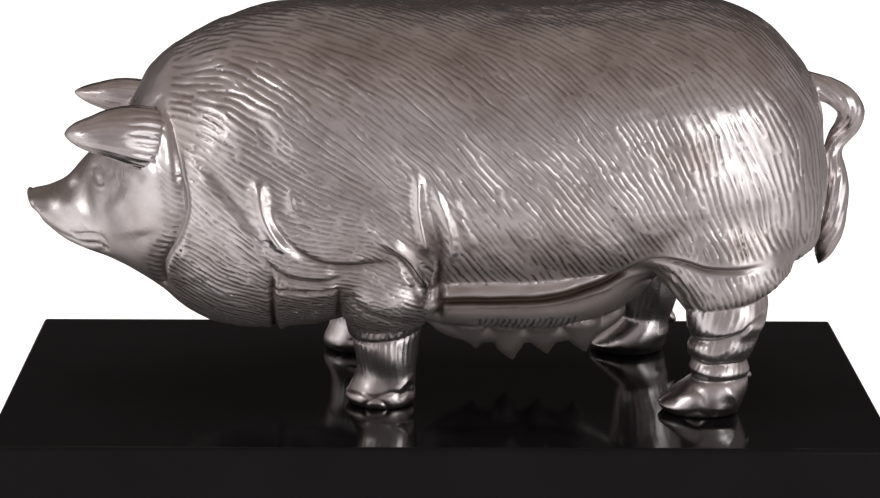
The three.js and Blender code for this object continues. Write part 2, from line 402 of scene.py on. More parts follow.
# Folds of the skin, as they lie on the near side
BODY_FOLDS: tuple[Fold, ...] = (
    Fold(COLLAR, -1.3, 2.0, 2.2, 13, limbs=(BARREL, HEAD), fade=(0.4, 0.1)),
    # the shoulder's raised lip, and the long furrow that goes on from it towards the elbow
    Fold(((-100, 143), (-100.5, 131.5), (-99, 120.5), (-95, 110.5), (-89, 101.5), (-79, 93)), 3.4, 4.0),
    Fold(
        (
            (-96, 128), (-94, 117), (-89, 108), (-81.5, 99.5), (-70.5, 92.5), (-59.5, 89.5), (-48.5, 89.5),
            (-37.5, 90.5), (-26, 91.5),
        ),
        -1.7, 2.3, 2.2, 14,
    ),
    # the soft lower edge of the shoulder, and the sharp lip of the band under it
    Fold(
        ((-102.5, 99.5), (-96.5, 90), (-90.5, 84.5), (-80.5, 80.5), (-71, 79.5), (-61, 80.5), (-53.5, 84)),
        -1.2, 2.2, 1.4, 10,
    ),
    Fold(
        ((-94, 74.5), (-86, 73), (-73.5, 72.5), (-63.5, 73), (-58, 74.5)),
        -1.8, 1.5, 2.0, 9, fade=(0.08, 0.08),
    ),
    # from behind the ear down to the band
    Fold(
        ((-140, 143.5), (-132, 137), (-123.5, 126.5), (-115, 116), (-107.5, 106.5), (-100.5, 96)),
        1.5, 4.2,
    ),
    Fold(((-136, 147), (-126, 139), (-117.5, 127.5), (-109.5, 116.5), (-103, 106)), -0.9, 3.0),
    Fold(((-85, 134), (-82, 124), (-77.5, 118), (-71.5, 112.5)), 1.3, 1.9),
    # rolls and furrows where the foreleg meets the side
    Fold(
        ((-35, 108), (-26.5, 102), (-19.5, 96), (-14, 87.5), (-9, 77.5), (-6.5, 67.5)),
        3.2, 3.2, limbs=(BARREL, ARM),
    ),
    Fold(((-31, 98), (-24, 94), (-18.5, 87), (-14, 79), (-11, 70)), -1.4, 2.0, limbs=(BARREL, ARM)),
    Fold(((-25, 87), (-21, 82), (-16.5, 75.5)), 1.2, 2.2, limbs=(BARREL, ARM)),
    Fold(((-15, 148), (-13.5, 136), (-13.5, 124.5), (-12, 114.5), (-9.5, 102.5), (-7, 95)), 3.0, 2.9),
    Fold(
        ((-10.5, 139), (-7, 124), (-3, 107.5), (-1, 94), (-1.5, 77.5), (-2.5, 58)),
        -3.4, 2.6, fade=(0.5, 0.0), limbs=(BARREL, ARM, UDDER),
    ),
    Fold(((-6, 140), (-1, 126), (3.5, 114), (5.5, 100), (4, 84)), 1.8, 2.8),
    Fold(((3, 134), (9, 121), (14.5, 107), (17, 96)), 1.1, 2.6),
    Fold(((-15.5, 95), (-9, 81), (-5, 67), (-3, 56)), -1.5, 1.5, limbs=(BARREL, ARM), fade=(0.4, 0)),
    Fold(((-17, 77), (-10, 66.5), (-4, 56)), -1.3, 1.5, limbs=(BARREL, ARM), fade=(0.5, 0)),
    Fold(((5, 93), (1.5, 74), (-1, 57)), -0.7, 1.6, limbs=(BARREL, UDDER), fade=(0.4, 0)),
    # the brisket's crease, with a ridge behind it
    Fold(
        ((-96, 92), (-94.5, 80), (-95, 68), (-95, 52), (-94, 30)),
        -2.2, 2.0, wraps=True, fade=(0.35, 0.0),
    ),
    Fold(((-92.5, 86), (-91.5, 75), (-91.5, 58), (-91, 40)), 1.4, 2.0, wraps=True, fade=(0.3, 0.0)),
    # the foreleg's sleeve
    Fold(((-57, 76), (-58, 64), (-58.5, 52)), -1.5, 1.7, wraps=True, limbs=(BARREL, ARM), fade=(0.2, 0.1)),
    Fold(((-53.5, 70), (-44, 62.5), (-34, 58), (-21.5, 54.5), (-9, 52)), -0.9, 2.6, limbs=(ARM,)),
    Fold(
        ((-64, 39), (-45, 39.5), (-32, 40.5), (-22, 42), (-12, 45.5), (-2, 51)),
        -0.9, 1.3, 1.3, 5, limbs=(ARM, FORE_SHANK), wraps=True, fade=(0, 0),
    ),
    # the long fold over the belly band, which climbs over the hind leg
    Fold(FLANK, -2.4, 1.8, 2.4, 10, limbs=(BARREL, THIGH, UDDER), fade=(0.03, 0.2)),
    Fold(
        (
            (-1, 63.5), (12, 64.5), (25, 64.5), (39, 65), (53, 65.5), (66, 67), (77, 69.5), (88, 72.5),
            (97, 75),
        ),
        1.2, 1.1, limbs=(BARREL, UDDER), fade=(0.04, 0.1),
    ),
    Fold(
        ((0, 49.5), (22, 47), (45, 46), (68, 47), (90, 51.5), (104, 58)),
        -1.5, 1.7, limbs=(UDDER,), fade=(0.15, 0.15),
    ),
    Fold(
        (
            (60, 66.5), (78.5, 71), (91.5, 75), (104, 79.5), (114, 80.5), (121, 79), (128, 74.5),
            (134.5, 66.5), (139, 58),
        ),
        1.3, 1.7, limbs=(BARREL, THIGH, UDDER), fade=(0.2, 0.2),
    ),
    Fold(
        ((112, 84), (122, 82), (130.5, 75), (137, 66), (142, 57)),
        -1.2, 1.3, limbs=(BARREL, THIGH), fade=(0.3, 0.1),
    ),
    Fold(
        ((120, 86.5), (129, 82.5), (136.5, 74), (142, 65), (145.5, 57.5)),
        -1.0, 1.3, limbs=(BARREL, THIGH), fade=(0.3, 0.1),
    ),
    Fold(
        ((104, 70), (112, 73.5), (119, 72), (126, 66), (132, 57)),
        -1.1, 1.6, limbs=(THIGH, UDDER, BARREL), fade=(0.3, 0.1),
    ),
    # rings of the hind shank
    Fold(
        ((136, 45), (141, 44.5), (146, 45), (154, 46), (162, 48.5), (168.5, 52), (173.5, 56.5), (180, 60)),
        -1.3, 1.5, 0.6, 5, limbs=(HIND_SHANK,), wraps=True, fade=(0, 0), side=Side.NEAR,
    ),
    Fold(
        ((136, 33), (142.5, 32.5), (147.5, 31), (154.5, 31.5), (164, 32), (171.5, 31.5), (180, 32)),
        -1.2, 1.3, limbs=(HIND_SHANK,), wraps=True, fade=(0, 0), side=Side.NEAR,
    ),
    Fold(
        ((136, 20.5), (142, 20.5), (148, 21), (156, 21.5), (165.5, 22), (176, 22)),
        -1.0, 1.2, limbs=(HIND_SHANK,), wraps=True, fade=(0, 0), side=Side.NEAR,
    ),
    Fold(((177.5, 61), (170.5, 53), (165.5, 46), (158, 36)), 0.9, 2.4, limbs=(HIND_SHANK,)),
    Fold(((174, 57), (167.5, 49), (162, 41), (156, 34)), -0.7, 1.3, limbs=(HIND_SHANK,)),
    # the hind hoof: its arch between the toes and the edge over them
    Fold(
        ((136, 0.5), (141.5, 3.5), (146, 4), (151.5, 0.5)),
        -1.1, 1.1, limbs=(HIND_SHANK,), fade=(0.1, 0.1),
    ),
    Fold(((159, 20), (163.5, 14.5), (166, 7.5), (157.5, 6), (149.5, 5.5)), 0.9, 1.7, limbs=(HIND_SHANK,)),
    Fold(((131, 11), (138, 12.5), (146, 12)), 0.8, 2.6, limbs=(HIND_SHANK,)),
    Fold(((140, 17.5), (147, 14), (149, 7)), -0.8, 1.8, limbs=(HIND_SHANK,)),
    # the fore hoof
    Fold(
        ((-54, 8.5), (-47, 9.5), (-40, 7.5), (-34, 8), (-27, 10), (-20, 8.5), (-14, 9)),
        -0.7, 1.2, limbs=(FORE_SHANK,), wraps=True, fade=(0, 0),
    ),
    Fold(
        ((-44, 0), (-41.5, 4.5), (-37, 6), (-32.5, 4), (-30, 0)),
        -0.9, 1.0, limbs=(FORE_SHANK,), fade=(0, 0),
    ),
    Fold(((-27, 9), (-22, 13), (-16.5, 19)), 0.8, 1.4, limbs=(FORE_SHANK,)),
    Fold(((-24, 5), (-19, 10), (-15, 13)), -0.8, 1.2, limbs=(FORE_SHANK,)),
)  # fmt: skip

FACE: tuple[Fold, ...] = (
    # mouth and lips
    Fold(
        ((-229, 96), (-222, 90.5), (-213.5, 87), (-209, 85.5), (-203, 85.5), (-198, 86.5), (-193, 85)),
        -1.1, 0.85, fade=(0.4, 0),
    ),
    Fold(
        (
            (-217, 94.5), (-211, 90.5), (-206, 91.5), (-201, 92.5), (-196.5, 92.5), (-193, 90.5),
            (-191.5, 87),
        ),
        -0.8, 0.95, fade=(0.3, 0.05),
    ),
    Fold(((-213, 88), (-206, 88.5), (-200, 89.5), (-195, 89.5)), 0.9, 1.5),
    Fold(((-210, 82.5), (-203, 82.5), (-196, 83)), 0.5, 1.3),
    # where the muzzle meets the cheek, its swell, and the ridge up the bridge
    Fold(((-204.5, 128), (-202, 116), (-200.5, 104), (-198, 95)), -1.0, 3.2, fade=(0.4, 0.4)),
    Fold(((-212, 108), (-209, 105), (-207, 102)), 1.5, 5.5, fade=(0, 0)),
    Fold(((-216, 116.5), (-212, 120.5), (-208, 125)), 1.6, 2.0, fade=(0.45, 0.45)),
    # the eye, nearly shut: brow, lids and the fold under them
    Fold(((-205, 134), (-200, 134.5), (-194, 134), (-189.5, 131)), 0.8, 2.4),
    Fold(((-200.5, 129), (-198, 131), (-195, 130.5), (-192.5, 127)), -0.8, 0.9, fade=(0.1, 0.1)),
    Fold(((-200.5, 127.5), (-199, 124.5), (-195.5, 122.5), (-192, 124)), -0.8, 0.9, fade=(0.1, 0.1)),
    Fold(((-198.5, 128.5), (-196.5, 127), (-195, 125.5)), 0.65, 1.5),
    Fold(((-201.5, 123), (-197.5, 120.5), (-192, 121)), 0.55, 1.1),
    Fold(((-201, 120.5), (-196.5, 118.5), (-191.5, 119.5)), -0.45, 1.1),
    Fold(((-191, 128), (-187.5, 129), (-184.5, 132)), -0.35, 0.9),
    # the bridge's wrinkles and the cheek's swell
    Fold(((-226.5, 118.5), (-225.5, 114), (-224, 110.5)), -0.3, 0.9),
    Fold(((-223, 119.5), (-221.5, 115), (-219.5, 111)), -0.25, 0.9),
    Fold(((-188, 118), (-178, 108), (-172, 96)), 1.4, 13.0),
    Fold(((-181, 140), (-172, 136), (-165, 130)), -1.0, 4.0),
)  # fmt: skip
FACE_FOLDS = tuple(replace(fold, limbs=(HEAD,)) for fold in FACE)

# How the hair is combed on the near side: x, z, degrees down towards the tail, and millimetres a lock
LAY = np.array(
    (
        # along the back
        (-135, 200, -12, 4.8), (-100, 212, 8, 4.6), (-60, 215, 20, 4.2), (-15, 215, 24, 3.8),
        (35, 215, 25, 3.6), (90, 215, 24, 3.6), (130, 218, 26, 3.8), (165, 204, 42, 4.0),
        (200, 192, 50, 4.4),
        # high on the side
        (-130, 182, 10, 4.8), (-104, 188, 30, 4.6), (-65, 195, 32, 4.0), (-15, 190, 38, 3.4),
        (35, 190, 42, 3.2), (90, 188, 46, 3.2), (140, 182, 58, 3.6), (180, 176, 55, 4.4),
        # the middle of the side
        (-118, 162, 32, 4.0), (-78, 165, 42, 3.3), (-35, 155, 44, 3.1), (10, 158, 44, 3.2),
        (50, 155, 44, 3.0),
        (85, 165, 52, 3.2), (120, 155, 60, 3.4), (142, 148, 72, 3.7), (185, 158, 64, 4.4),
        (208, 150, 78, 4.6),
        # neck, shoulder and flank
        (-126, 130, 38, 3.5), (-88, 138, 30, 3.0), (-60, 136, 25, 2.9), (-30, 126, 32, 2.8),
        (4, 130, 56, 4.6),
        (32, 125, 48, 3.3), (75, 130, 48, 3.2), (120, 125, 56, 3.4), (145, 130, 70, 3.8),
        (190, 130, 74, 4.4),
        # low on the side
        (-138, 95, 32, 3.2), (-115, 96, 36, 3.2), (-78, 110, 14, 2.8), (-56, 110, 8, 2.8),
        (-25, 105, 38, 2.8),
        (7, 98, 50, 4.0), (32, 98, 50, 3.3), (75, 95, 46, 3.2), (115, 100, 52, 3.2), (150, 100, 60, 3.8),
        (205, 110, 84, 4.4),
        # throat, sleeve, arm and thigh
        (-140, 80, 30, 3.1), (-110, 68, 14, 2.8), (-65, 88, 5, 2.8), (-60, 66, 4, 2.6), (-32, 82, 25, 2.8),
        (-30, 68, 13, 2.6), (140, 75, 58, 3.2), (170, 80, 70, 3.4), (192, 92, 62, 3.8),
    )
)  # fmt: skip

# Small round pits the casting left, as x and z on the near side
PINHOLES: Line = ((-137.1, 153.0), (-135.1, 145.0), (-100.9, 136.4), (149.7, 165.1), (142.7, 134.3))


@dataclass
class Skin:
    """The sow's skin as arrays, in millimetres in her own frame.

    at and out are its places and normals. limb, share and turn say what a place belongs to, how far
    along the limb it is and at which angle round it. hollow, crest, patina and polish run from 0 to 1;
    the patina is tarnish in the creases together with painted shade under the belly band, on parts that face
    down and on the upper snout.
    """

    mesh: bpy.types.Mesh
    at: Array = field(init=False)
    out: Array = field(init=False)
    limb: Array = field(init=False)
    share: Array = field(init=False)
    turn: Array = field(init=False)
    hollow: Array = field(init=False)
    crest: Array = field(init=False)
    patina_and_shade: Array = field(init=False)
    polish: Array = field(init=False)

    def __post_init__(self) -> None:
        """Reads the mesh and what each place belongs to."""
        tag = np.empty(len(self.mesh.vertices) * 4, dtype=np.float32)
        self.mesh.attributes["limb"].data.foreach_get("color", tag)
        tag = tag.reshape(-1, 4).astype(np.float64)
        self.limb = np.rint(tag[:, 0] * LIMB_SCALE).astype(int)
        self.share = tag[:, 1]
        self.turn = np.arctan2(tag[:, 3], tag[:, 2])
        self.hollow, self.crest, self.patina_and_shade, self.polish = (np.zeros(len(tag)) for _ in range(4))
        self.at = read(self.mesh.vertices, "co")
        self.out = read(self.mesh.vertex_normals, "vector")

    def push(self, lift: Array) -> None:
        """Moves the skin out and works out its new normals.

        Args:
            lift: how far out each place moves, in millimetres.
        """
        self.at = self.at + self.out * lift[:, None]
        self.at[:, 2] = np.maximum(self.at[:, 2], 0.0)
        self.mesh.vertices.foreach_set("co", self.at.astype(np.float32).ravel())
        self.mesh.update()
        self.out = read(self.mesh.vertex_normals, "vector")

    def of(self, *limbs: Limb) -> Array:
        """Returns 1 where the skin belongs to one of the limbs and 0 elsewhere."""
        return np.isin(self.limb, [int(limb) for limb in limbs]).astype(float)

    def as_near(self, step: float) -> Array:
        """Returns each place's x, on the far side as if its leg stood beside the near one."""
        return np.where(self.at[:, 1] > 0, self.at[:, 0] + step, self.at[:, 0])

    def over_flank(self) -> Array:
        """Returns how far each place is over the long fold of the flank, in millimetres."""
        return self.at[:, 2] - np.interp(self.as_near(HIND_STEP), *np.array(FLANK).T)

    def edges(self) -> Array:
        """Reads the mesh's edges.

        Returns:
            A row for each edge, with the numbers of its two points.
        """
        ends = np.empty(len(self.mesh.edges) * 2, dtype=np.int32)
        self.mesh.edges.foreach_get("vertices", ends)
        return ends.reshape(-1, 2)

    def soften(self, weight: Array, rounds: int) -> None:
        """Smooths the skin, each round moving a point towards its neighbours' middle.

        Args:
            weight: how much of that way each point goes, from 0 to 1.
            rounds: how often.
        """
        ends = self.edges()
        ends = ends[(weight[ends] > 0.01).any(axis=1)]
        known, local = np.unique(ends, return_inverse=True)
        a, b = local.reshape(-1, 2).T
        count = np.bincount(a, minlength=len(known)) + np.bincount(b, minlength=len(known))
        share = (0.6 * weight[known] / count)[:, None]
        at = self.at[known]
        for _ in range(rounds):
            near = np.column_stack([
                np.bincount(a, at[b, k], len(known)) + np.bincount(b, at[a, k], len(known)) for k in range(3)
            ])
            at += share * (near - count[:, None] * at)
        self.at[known] = at
        self.push(np.zeros(len(self.at)))

    def spread(self, values: Array, rounds: int) -> Array:
        """Lets values run out over the skin, each round towards the middle of a place's neighbours.

        Args:
            values: one number for each place.
            rounds: how often.

        Returns:
            The evened values.
        """
        a, b = self.edges().T
        count = np.bincount(a, minlength=len(values)) + np.bincount(b, minlength=len(values))
        for _ in range(rounds):
            near = np.bincount(a, values[b], len(values)) + np.bincount(b, values[a], len(values))
            values = 0.4 * values + 0.6 * near / count
        return values

    def fold(self, folds: Iterable[Fold]) -> None:
        """Presses folds into the skin, and notes where furrows and rolls lie.

        Args:
            folds: the folds.
        """
        lift = np.zeros(len(self.at))
        facing = smoothstep(0.15, 0.45, np.abs(self.out[:, 1]))
        for one in folds:
            margin = 3 * max(one.width, one.reach * (one.step != 0))
            low = np.min(one.line, axis=0) - margin
            high = np.max(one.line, axis=0) + margin
            flat = self.at[:, [0, 2]]
            near = np.all((flat > low) & (flat < high), axis=1) & (self.of(*one.limbs) > 0)
            if one.side is not Side.BOTH:
                near &= np.sign(self.at[:, 1]) == one.side.value
            where = np.flatnonzero(near)
            if not len(where):
                continue
            rise, depth = one.lift(flat[where])
            weight = 1.0 if one.wraps else facing[where]
            lift[where] += rise * weight
            self.hollow[where] = np.maximum(self.hollow[where], depth * weight * min(0.85, -one.rise / 2.2))
            self.crest[where] = np.maximum(self.crest[where], rise * weight / 3 * (one.rise > 1.5))
        self.push(lift)


@dataclass(frozen=True)
class Comb:
    """Combed hair: many short patches of parallel furrows, each laid along the hair where it is.

    length, breadth and depth are a patch's reach along, across and into the hair, count how many
    patches the skin holds, and coarse how many times wider the locks are than LAY says. cell is the
    size of the boxes that places are sorted into. stray and uneven say how far the hair's direction
    and width wander, and seen_from is the angle over the horizon that LAY is drawn from.
    """

    length: float = 11.0
    breadth: float = 3.4
    count: int = 17000
    coarse: float = 1.0
    cell: float = 9.0
    depth: float = 7.0
    stray: float = 0.06
    uneven: float = 0.08
    seen_from: float = 0.26

    def directions(self, at: Array, out: Array) -> tuple[Array, Array]:
        """Works out how the hair lies.

        Args:
            at: places on the skin.
            out: the skin's normals there.

        Returns:
            The hair's direction along the skin, and the locks' width in millimetres.
        """
        angle = np.radians(LAY[:, 2])
        heading = np.column_stack([np.cos(angle), np.sin(angle), LAY[:, 3]])
        blend = np.empty((len(at), 3))
        batch, evening = 20000, 30.0
        for start in range(0, len(at), batch):
            part = slice(start, start + batch)
            gap = (at[part, None, 0] - LAY[None, :, 0]) ** 2 + (at[part, None, 2] - LAY[None, :, 1]) ** 2
            weight = 1.0 / (gap + evening) ** 2
            blend[part] = weight @ heading / weight.sum(axis=1, keepdims=True)
        cosine, sine = unit(blend[:, :2]).T
        # LAY is drawn as seen from the side and a little above, so the hair is laid along that view
        side = np.where(at[:, 1] > 0, -1.0, 1.0)
        level, fall = math.cos(self.seen_from), math.sin(self.seen_from)
        seen = np.array([0.0, level, -fall])
        up = np.array([0.0, fall, level])
        mirrored = out * np.column_stack([np.ones(len(at)), side, np.ones(len(at))])
        drawn = np.column_stack([cosine, np.zeros(len(at)), np.zeros(len(at))]) - sine[:, None] * up
        toward = mirrored @ seen
        slide = -np.einsum("ij,ij->i", drawn, mirrored) * toward / (toward**2 + 0.05)
        lie = drawn + slide[:, None] * seen
        lie -= mirrored * np.einsum("ij,ij->i", lie, mirrored)[:, None]
        lie[:, 1] *= side
        return unit(lie), blend[:, 2] * self.coarse

    def furrows(self, at: Array, out: Array, seed: int) -> tuple[Array, Array]:
        """Lays the patches over the skin.

        Args:
            at: places on the skin.
            out: the skin's normals there.
            seed: picks where the patches start.

        Returns:
            The phase across the locks, and how firm they are from 0, where strokes end, to 1.
        """
        chance = np.random.default_rng(seed)
        chosen = chance.choice(len(at), min(self.count, len(at)), replace=False)
        lie, lock = self.directions(at[chosen], out[chosen])
        lie = unit(lie + self.stray * chance.standard_normal(lie.shape))
        across = np.cross(out[chosen], lie)
        turn = 2 * math.pi / (lock * (1 + self.uneven * chance.standard_normal(len(chosen))))
        begin = chance.uniform(0, 2 * math.pi, len(chosen))
        # every place is sorted into a box, so that a patch looks only at the boxes round its own
        grid = np.floor(at / self.cell).astype(int)
        low = grid.min(axis=0)
        span = grid.max(axis=0) - low + 1
        key = ((grid[:, 0] - low[0]) * span[1] + grid[:, 1] - low[1]) * span[2] + grid[:, 2] - low[2]
        order = np.argsort(key, kind="stable")
        cells, first = np.unique(key[order], return_index=True)
        last = np.append(first[1:], len(order))
        spots = {int(cell): order[a:b] for cell, a, b in zip(cells, first, last)}
        reach = int(math.ceil(2.3 * self.length / self.cell))
        steps = [
            (i * span[1] + j) * span[2] + k
            for i in range(-reach, reach + 1)
            for j in range(-reach, reach + 1)
            for k in range(-reach, reach + 1)
            if i * i + j * j + k * k <= (reach + 0.5) ** 2
        ]
        # the patches' waves add up as arrows, whose direction is the phase and whose length is how firm it is
        real = np.zeros(len(at), dtype=np.float32)
        imag = np.zeros(len(at), dtype=np.float32)
        homes = key[chosen]
        sorted_homes = np.argsort(homes, kind="stable")
        names, starts = np.unique(homes[sorted_homes], return_index=True)
        ends = np.append(starts[1:], len(sorted_homes))
        small_at, small_out = at.astype(np.float32), out.astype(np.float32)
        for name, a, b in zip(names, starts, ends):
            around = [spots[int(name) + step] for step in steps if int(name) + step in spots]
            where = np.concatenate(around)
            patch = sorted_homes[a:b]
            here, home = small_at[where], small_at[chosen[patch]]
            rows = [np.asarray(v[patch], dtype=np.float32) for v in (lie, across, out[chosen])]
            flow, cross, deep = (here @ row.T - np.einsum("ij,ij->i", home, row) for row in rows)
            spread = (flow / self.length) ** 2 + (cross / self.breadth) ** 2 + (deep / self.depth) ** 2
            weight = np.exp(-0.5 * spread)
            weight *= small_out[where] @ rows[2].T > 0.2
            angle = cross * turn[patch].astype(np.float32) + begin[patch].astype(np.float32)
            real[where] += (weight * np.cos(angle)).sum(axis=1)
            imag[where] += (weight * np.sin(angle)).sum(axis=1)
        strength = np.hypot(real, imag)
        return np.arctan2(imag, real).astype(float), smoothstep(0.12, 0.65, strength / np.median(strength))


@dataclass
class Sow:
    """The cast sow: one skin over her limbs, folded, featured and combed.

    voxel is the skin's fineness in millimetres before it is thinned to so many triangles. hair_depth
    is how deep the furrows between hairs are cut, and lock_depth how far whole locks stand out.
    """

    voxel: float = 0.78
    triangles: int = 196000
    hair_depth: float = 0.72
    lock_depth: float = 0.16
    # each limb's stations, as Loft takes them; those of tail, ledge and dewclaw are as tube takes them
    barrel: Stations = (
        (-182, 128, -182, 128, 0, 0),
        (-176, 170, -171, 80, 34, 0),
        (-166, 187.5, -158, 56, 48, 0),
        (-149, 203, -140, 44, 63, 0),
        (-125, 213.5, -117, 39, 76, 0),
        (-90, 223, -85, 40, 84, 0),
        (-42, 225, -40, 50, 87.5, 0),
        (8, 223.5, 8, 62, 88.5, 0),
        (58, 224.5, 58, 63, 89.5, 0),
        (108, 227, 108, 74, 90, 0),
        (148, 226.5, 148, 80, 88, 0),
        (178, 218, 180, 76, 80, 0),
        (200.5, 199, 205, 79, 64, 0),
        (214, 177, 218, 92, 40, 0),
        (222.5, 130, 222.5, 130, 0, 0),
    )
    head: Stations = (
        (-239, 108, -239, 108, 0, 0),
        (-240, 112.8, -237.4, 103.2, 7.2, 0),
        (-239.2, 114.6, -235.6, 101, 9.6, 0),
        (-234.5, 114.8, -232.5, 96.5, 9.2, 0),
        (-225.5, 117, -226, 90.4, 11.8, 0),
        (-216, 121.8, -216.5, 83.6, 16.8, 0),
        (-207, 132, -205, 78.8, 24.5, 0),
        (-196, 144, -190, 73.8, 35, 0),
        (-186, 156, -176, 66, 46, 0),
        (-177, 169, -162, 58, 55, 0),
        (-166, 182, -146, 53.5, 62, 0),
        (-150, 190, -128, 57, 60, 0),
        (-112, 120, -112, 120, 0, 0),
    )
    ear: Stations = (
        (-140, 152, -140, 152, 0, -44),
        (-148, 164, -147, 138, 8, -46),
        (-158.5, 170.5, -158, 135.5, 9.6, -48.2),
        (-171, 173, -171, 137.8, 11, -50.3),
        (-184.5, 171.5, -184, 143.2, 11.5, -51.6),
        (-196.5, 167, -196, 147.5, 9.5, -52),
        (-206, 162.6, -205.5, 151.8, 6, -51.5),
        (-211, 157, -211, 157, 0, -50.5),
    )
    udder: Stations = (
        (-30, 68, -30, 68, 0, 0),
        (-21, 84, -20, 52, 58, 0),
        (-3, 86, -1, 43.5, 71, 0),
        (22, 88, 22, 41, 73.5, 0),
        (45, 90, 45, 39.5, 74, 0),
        (68, 92, 68, 41, 74, 0),
        (92, 96, 91, 46, 70, 0),
        (112, 100, 110, 56, 58, 0),
        (127, 98, 125, 68, 36, 0),
        (137, 84, 137, 84, 0, 0),
    )
    arm: Stations = (
        (-30, 112, -30, 112, 0, -50),
        (-54, 104, -8, 104, 22, -50),
        (-60, 86, -2, 86, 28, -51),
        (-60, 68, -2, 66, 29, -51),
        (-57, 53, -6, 54, 25, -49),
        (-48, 45, -14, 47, 17, -47),
        (-31, 43.5, -31, 43.5, 0, -46),
    )
    fore_shank: Stations = (
        (-31, 72, -31, 72, 0, -46),
        (-48, 64, -14, 64, 17, -46),
        (-54, 50, -8, 52, 21, -46),
        (-51, 38, -12, 38, 18.5, -46),
        (-48.5, 22, -14, 22, 16.5, -46),
        (-50, 14, -14.2, 14, 17, -46),
        (-54, 7, -14, 7, 18, -46),
        (-53.5, 2.5, -14.5, 2, 17.5, -46),
        (-47, -1.5, -19, -1.5, 14, -46),
        (-33, -3, -33, -3, 0, -46),
    )
    thigh: Stations = (
        (152, 132, 152, 132, 0, -46),
        (112, 116, 192, 122, 28, -47),
        (110, 100, 200, 100, 35, -48),
        (117, 84, 200, 84, 35.5, -49),
        (128, 71, 194, 76, 33, -51),
        (137, 60, 186, 71.5, 27, -54),
        (142, 57, 180, 70, 16, -56),
        (161, 63, 161, 63, 0, -57),
    )
    hind_shank: Stations = (
        (160, 88, 160, 88, 0, -58),
        (142, 78, 182, 82, 17, -59),
        (138.5, 64, 184, 68, 20.5, -60),
        (138.5, 52, 183, 55, 21, -61),
        (140.5, 45, 180, 47, 18.5, -61),
        (139.5, 38, 178, 39, 19, -61),
        (142.5, 30.5, 174, 30.5, 16.5, -61),
        (141.5, 26, 174.5, 26, 17.5, -61),
        (142.5, 21.5, 173.5, 21.5, 16.5, -61),
        (134, 14, 173.5, 14, 18, -61),
        (126, 7.5, 172, 7.5, 18.5, -61),
        (124.5, 3.5, 170.5, 3, 17.5, -61),
        (132, -1.5, 166, -1.5, 13, -61),
        (150, -3, 150, -3, 0, -61),
    )
    tail: Stations = (
        (204, 178, 6, 0),
        (213, 177.5, 7, 0),
        (223, 174.5, 7.6, -1),
        (232, 169, 8, -2),
        (236.6, 160.5, 8, -1),
        (235, 151.5, 7.4, 2),
        (230, 144, 6.2, 3),
        (228, 136, 5.2, 2),
        (230, 125, 5.8, 0),
        (230.5, 110, 6.8, -1),
        (228.5, 93.5, 7, -1),
        (224, 78, 5.6, 0),
        (222, 70.5, 1.8, 0),
    )
    # teats: x and height of the tip
    teats: Stations = ((19, 30), (40, 24), (59.5, 27.5), (81.5, 29))
    # the ledge the teats stand on: x, height of its middle and radius
    ledge: Stations = (
        (-8, 52, 4), (4, 45, 7), (19, 42.5, 9), (30, 42, 7.5), (40, 41, 9.5), (50, 41.5, 7.5), (60, 41.5, 9),
        (71, 43, 7.5), (81, 44, 8.5), (92, 48, 6.5), (102, 54, 4),
    )  # fmt: skip
    dewclaw: Stations = ((168, 25, 3.0, -56), (172, 22.5, 3.4, -56), (175, 19.5, 2.4, -56))

    def lofts(self) -> list[Loft]:
        """Lays out every limb of both sides.

        Returns:
            The lofts, which overlap where limbs join.
        """
        ear = Loft(Limb.EAR, self.ear, 70, 40, cup=0.1, lean=0.1)
        arm = Loft(Limb.ARM, self.arm, 50, 60)
        fore = Loft(Limb.FORE_SHANK, self.fore_shank, 80, 56)
        thigh = Loft(Limb.THIGH, self.thigh, 60, 64)
        hind = Loft(Limb.HIND_SHANK, self.hind_shank, 110, 56)
        claw = tube(Limb.HIND_SHANK, self.dewclaw, 16, 16)
        lofts = [
            Loft(Limb.BARREL, self.barrel, 150, 120, 2.35, 3.1),
            Loft(Limb.HEAD, self.head, 110, 80, taper=0.38),
            ear,
            ear.moved(x=-7, z=3.5, slim=0.78),
            Loft(Limb.UDDER, self.udder, 60, 60, 2.4),
            arm,
            arm.moved(x=-FORE_STEP, spread=16),
            fore,
            fore.moved(x=-FORE_STEP, spread=16),
            thigh,
            thigh.moved(x=-HIND_STEP, spread=-2),
            hind,
            hind.evened(3, 8).moved(x=-HIND_STEP, spread=-2),
            claw,
            claw.moved(x=-HIND_STEP, spread=-2),
            tube(Limb.TAIL, self.tail, 120, 28),
        ]
        rows = [side.value * TEAT_ROW_Y for side in (Side.NEAR, Side.FAR)]
        for y in rows:
            for x, tip in self.teats:
                root = ((x - 2, 50, 13, y), (x - 1, 42, 10.5, y))
                rings = (*root, (x, tip + 7.5, 7.8, y), (x + 1, tip + 2.6, 3.6, y))
                lofts.append(tube(Limb.TEAT, rings, 24, 20))
        for y in rows:
            ledge = tuple((x, z, radius, y) for x, z, radius in self.ledge)
            lofts.append(tube(Limb.TEAT, ledge, 60, 24))
        return lofts

    def joined(self) -> bpy.types.Mesh:
        """Joins the limbs into one closed skin.

        Returns:
            The mesh, which keeps what each place belongs to in its attribute limb.
        """
        all_limbs = bmesh.new()
        for loft in self.lofts():
            mesh = loft.mesh()
            all_limbs.from_mesh(mesh)
            bpy.data.meshes.remove(mesh)
        parts = bpy.data.meshes.new("limbs")
        all_limbs.to_mesh(parts)
        all_limbs.free()
        # a fine voxel skin round all the limbs, lightly evened
        source = link(parts, "limbs")
        whole = link(parts.copy(), "whole")
        remesh = whole.modifiers.new("join", "REMESH")
        remesh.mode = "VOXEL"
        remesh.voxel_size = self.voxel * 1.0
        smooth = whole.modifiers.new("smooth", "SMOOTH")
        smooth.factor = 0.5
        smooth.iterations = 4
        skin = link(evaluated(whole, "skin"), "skin")
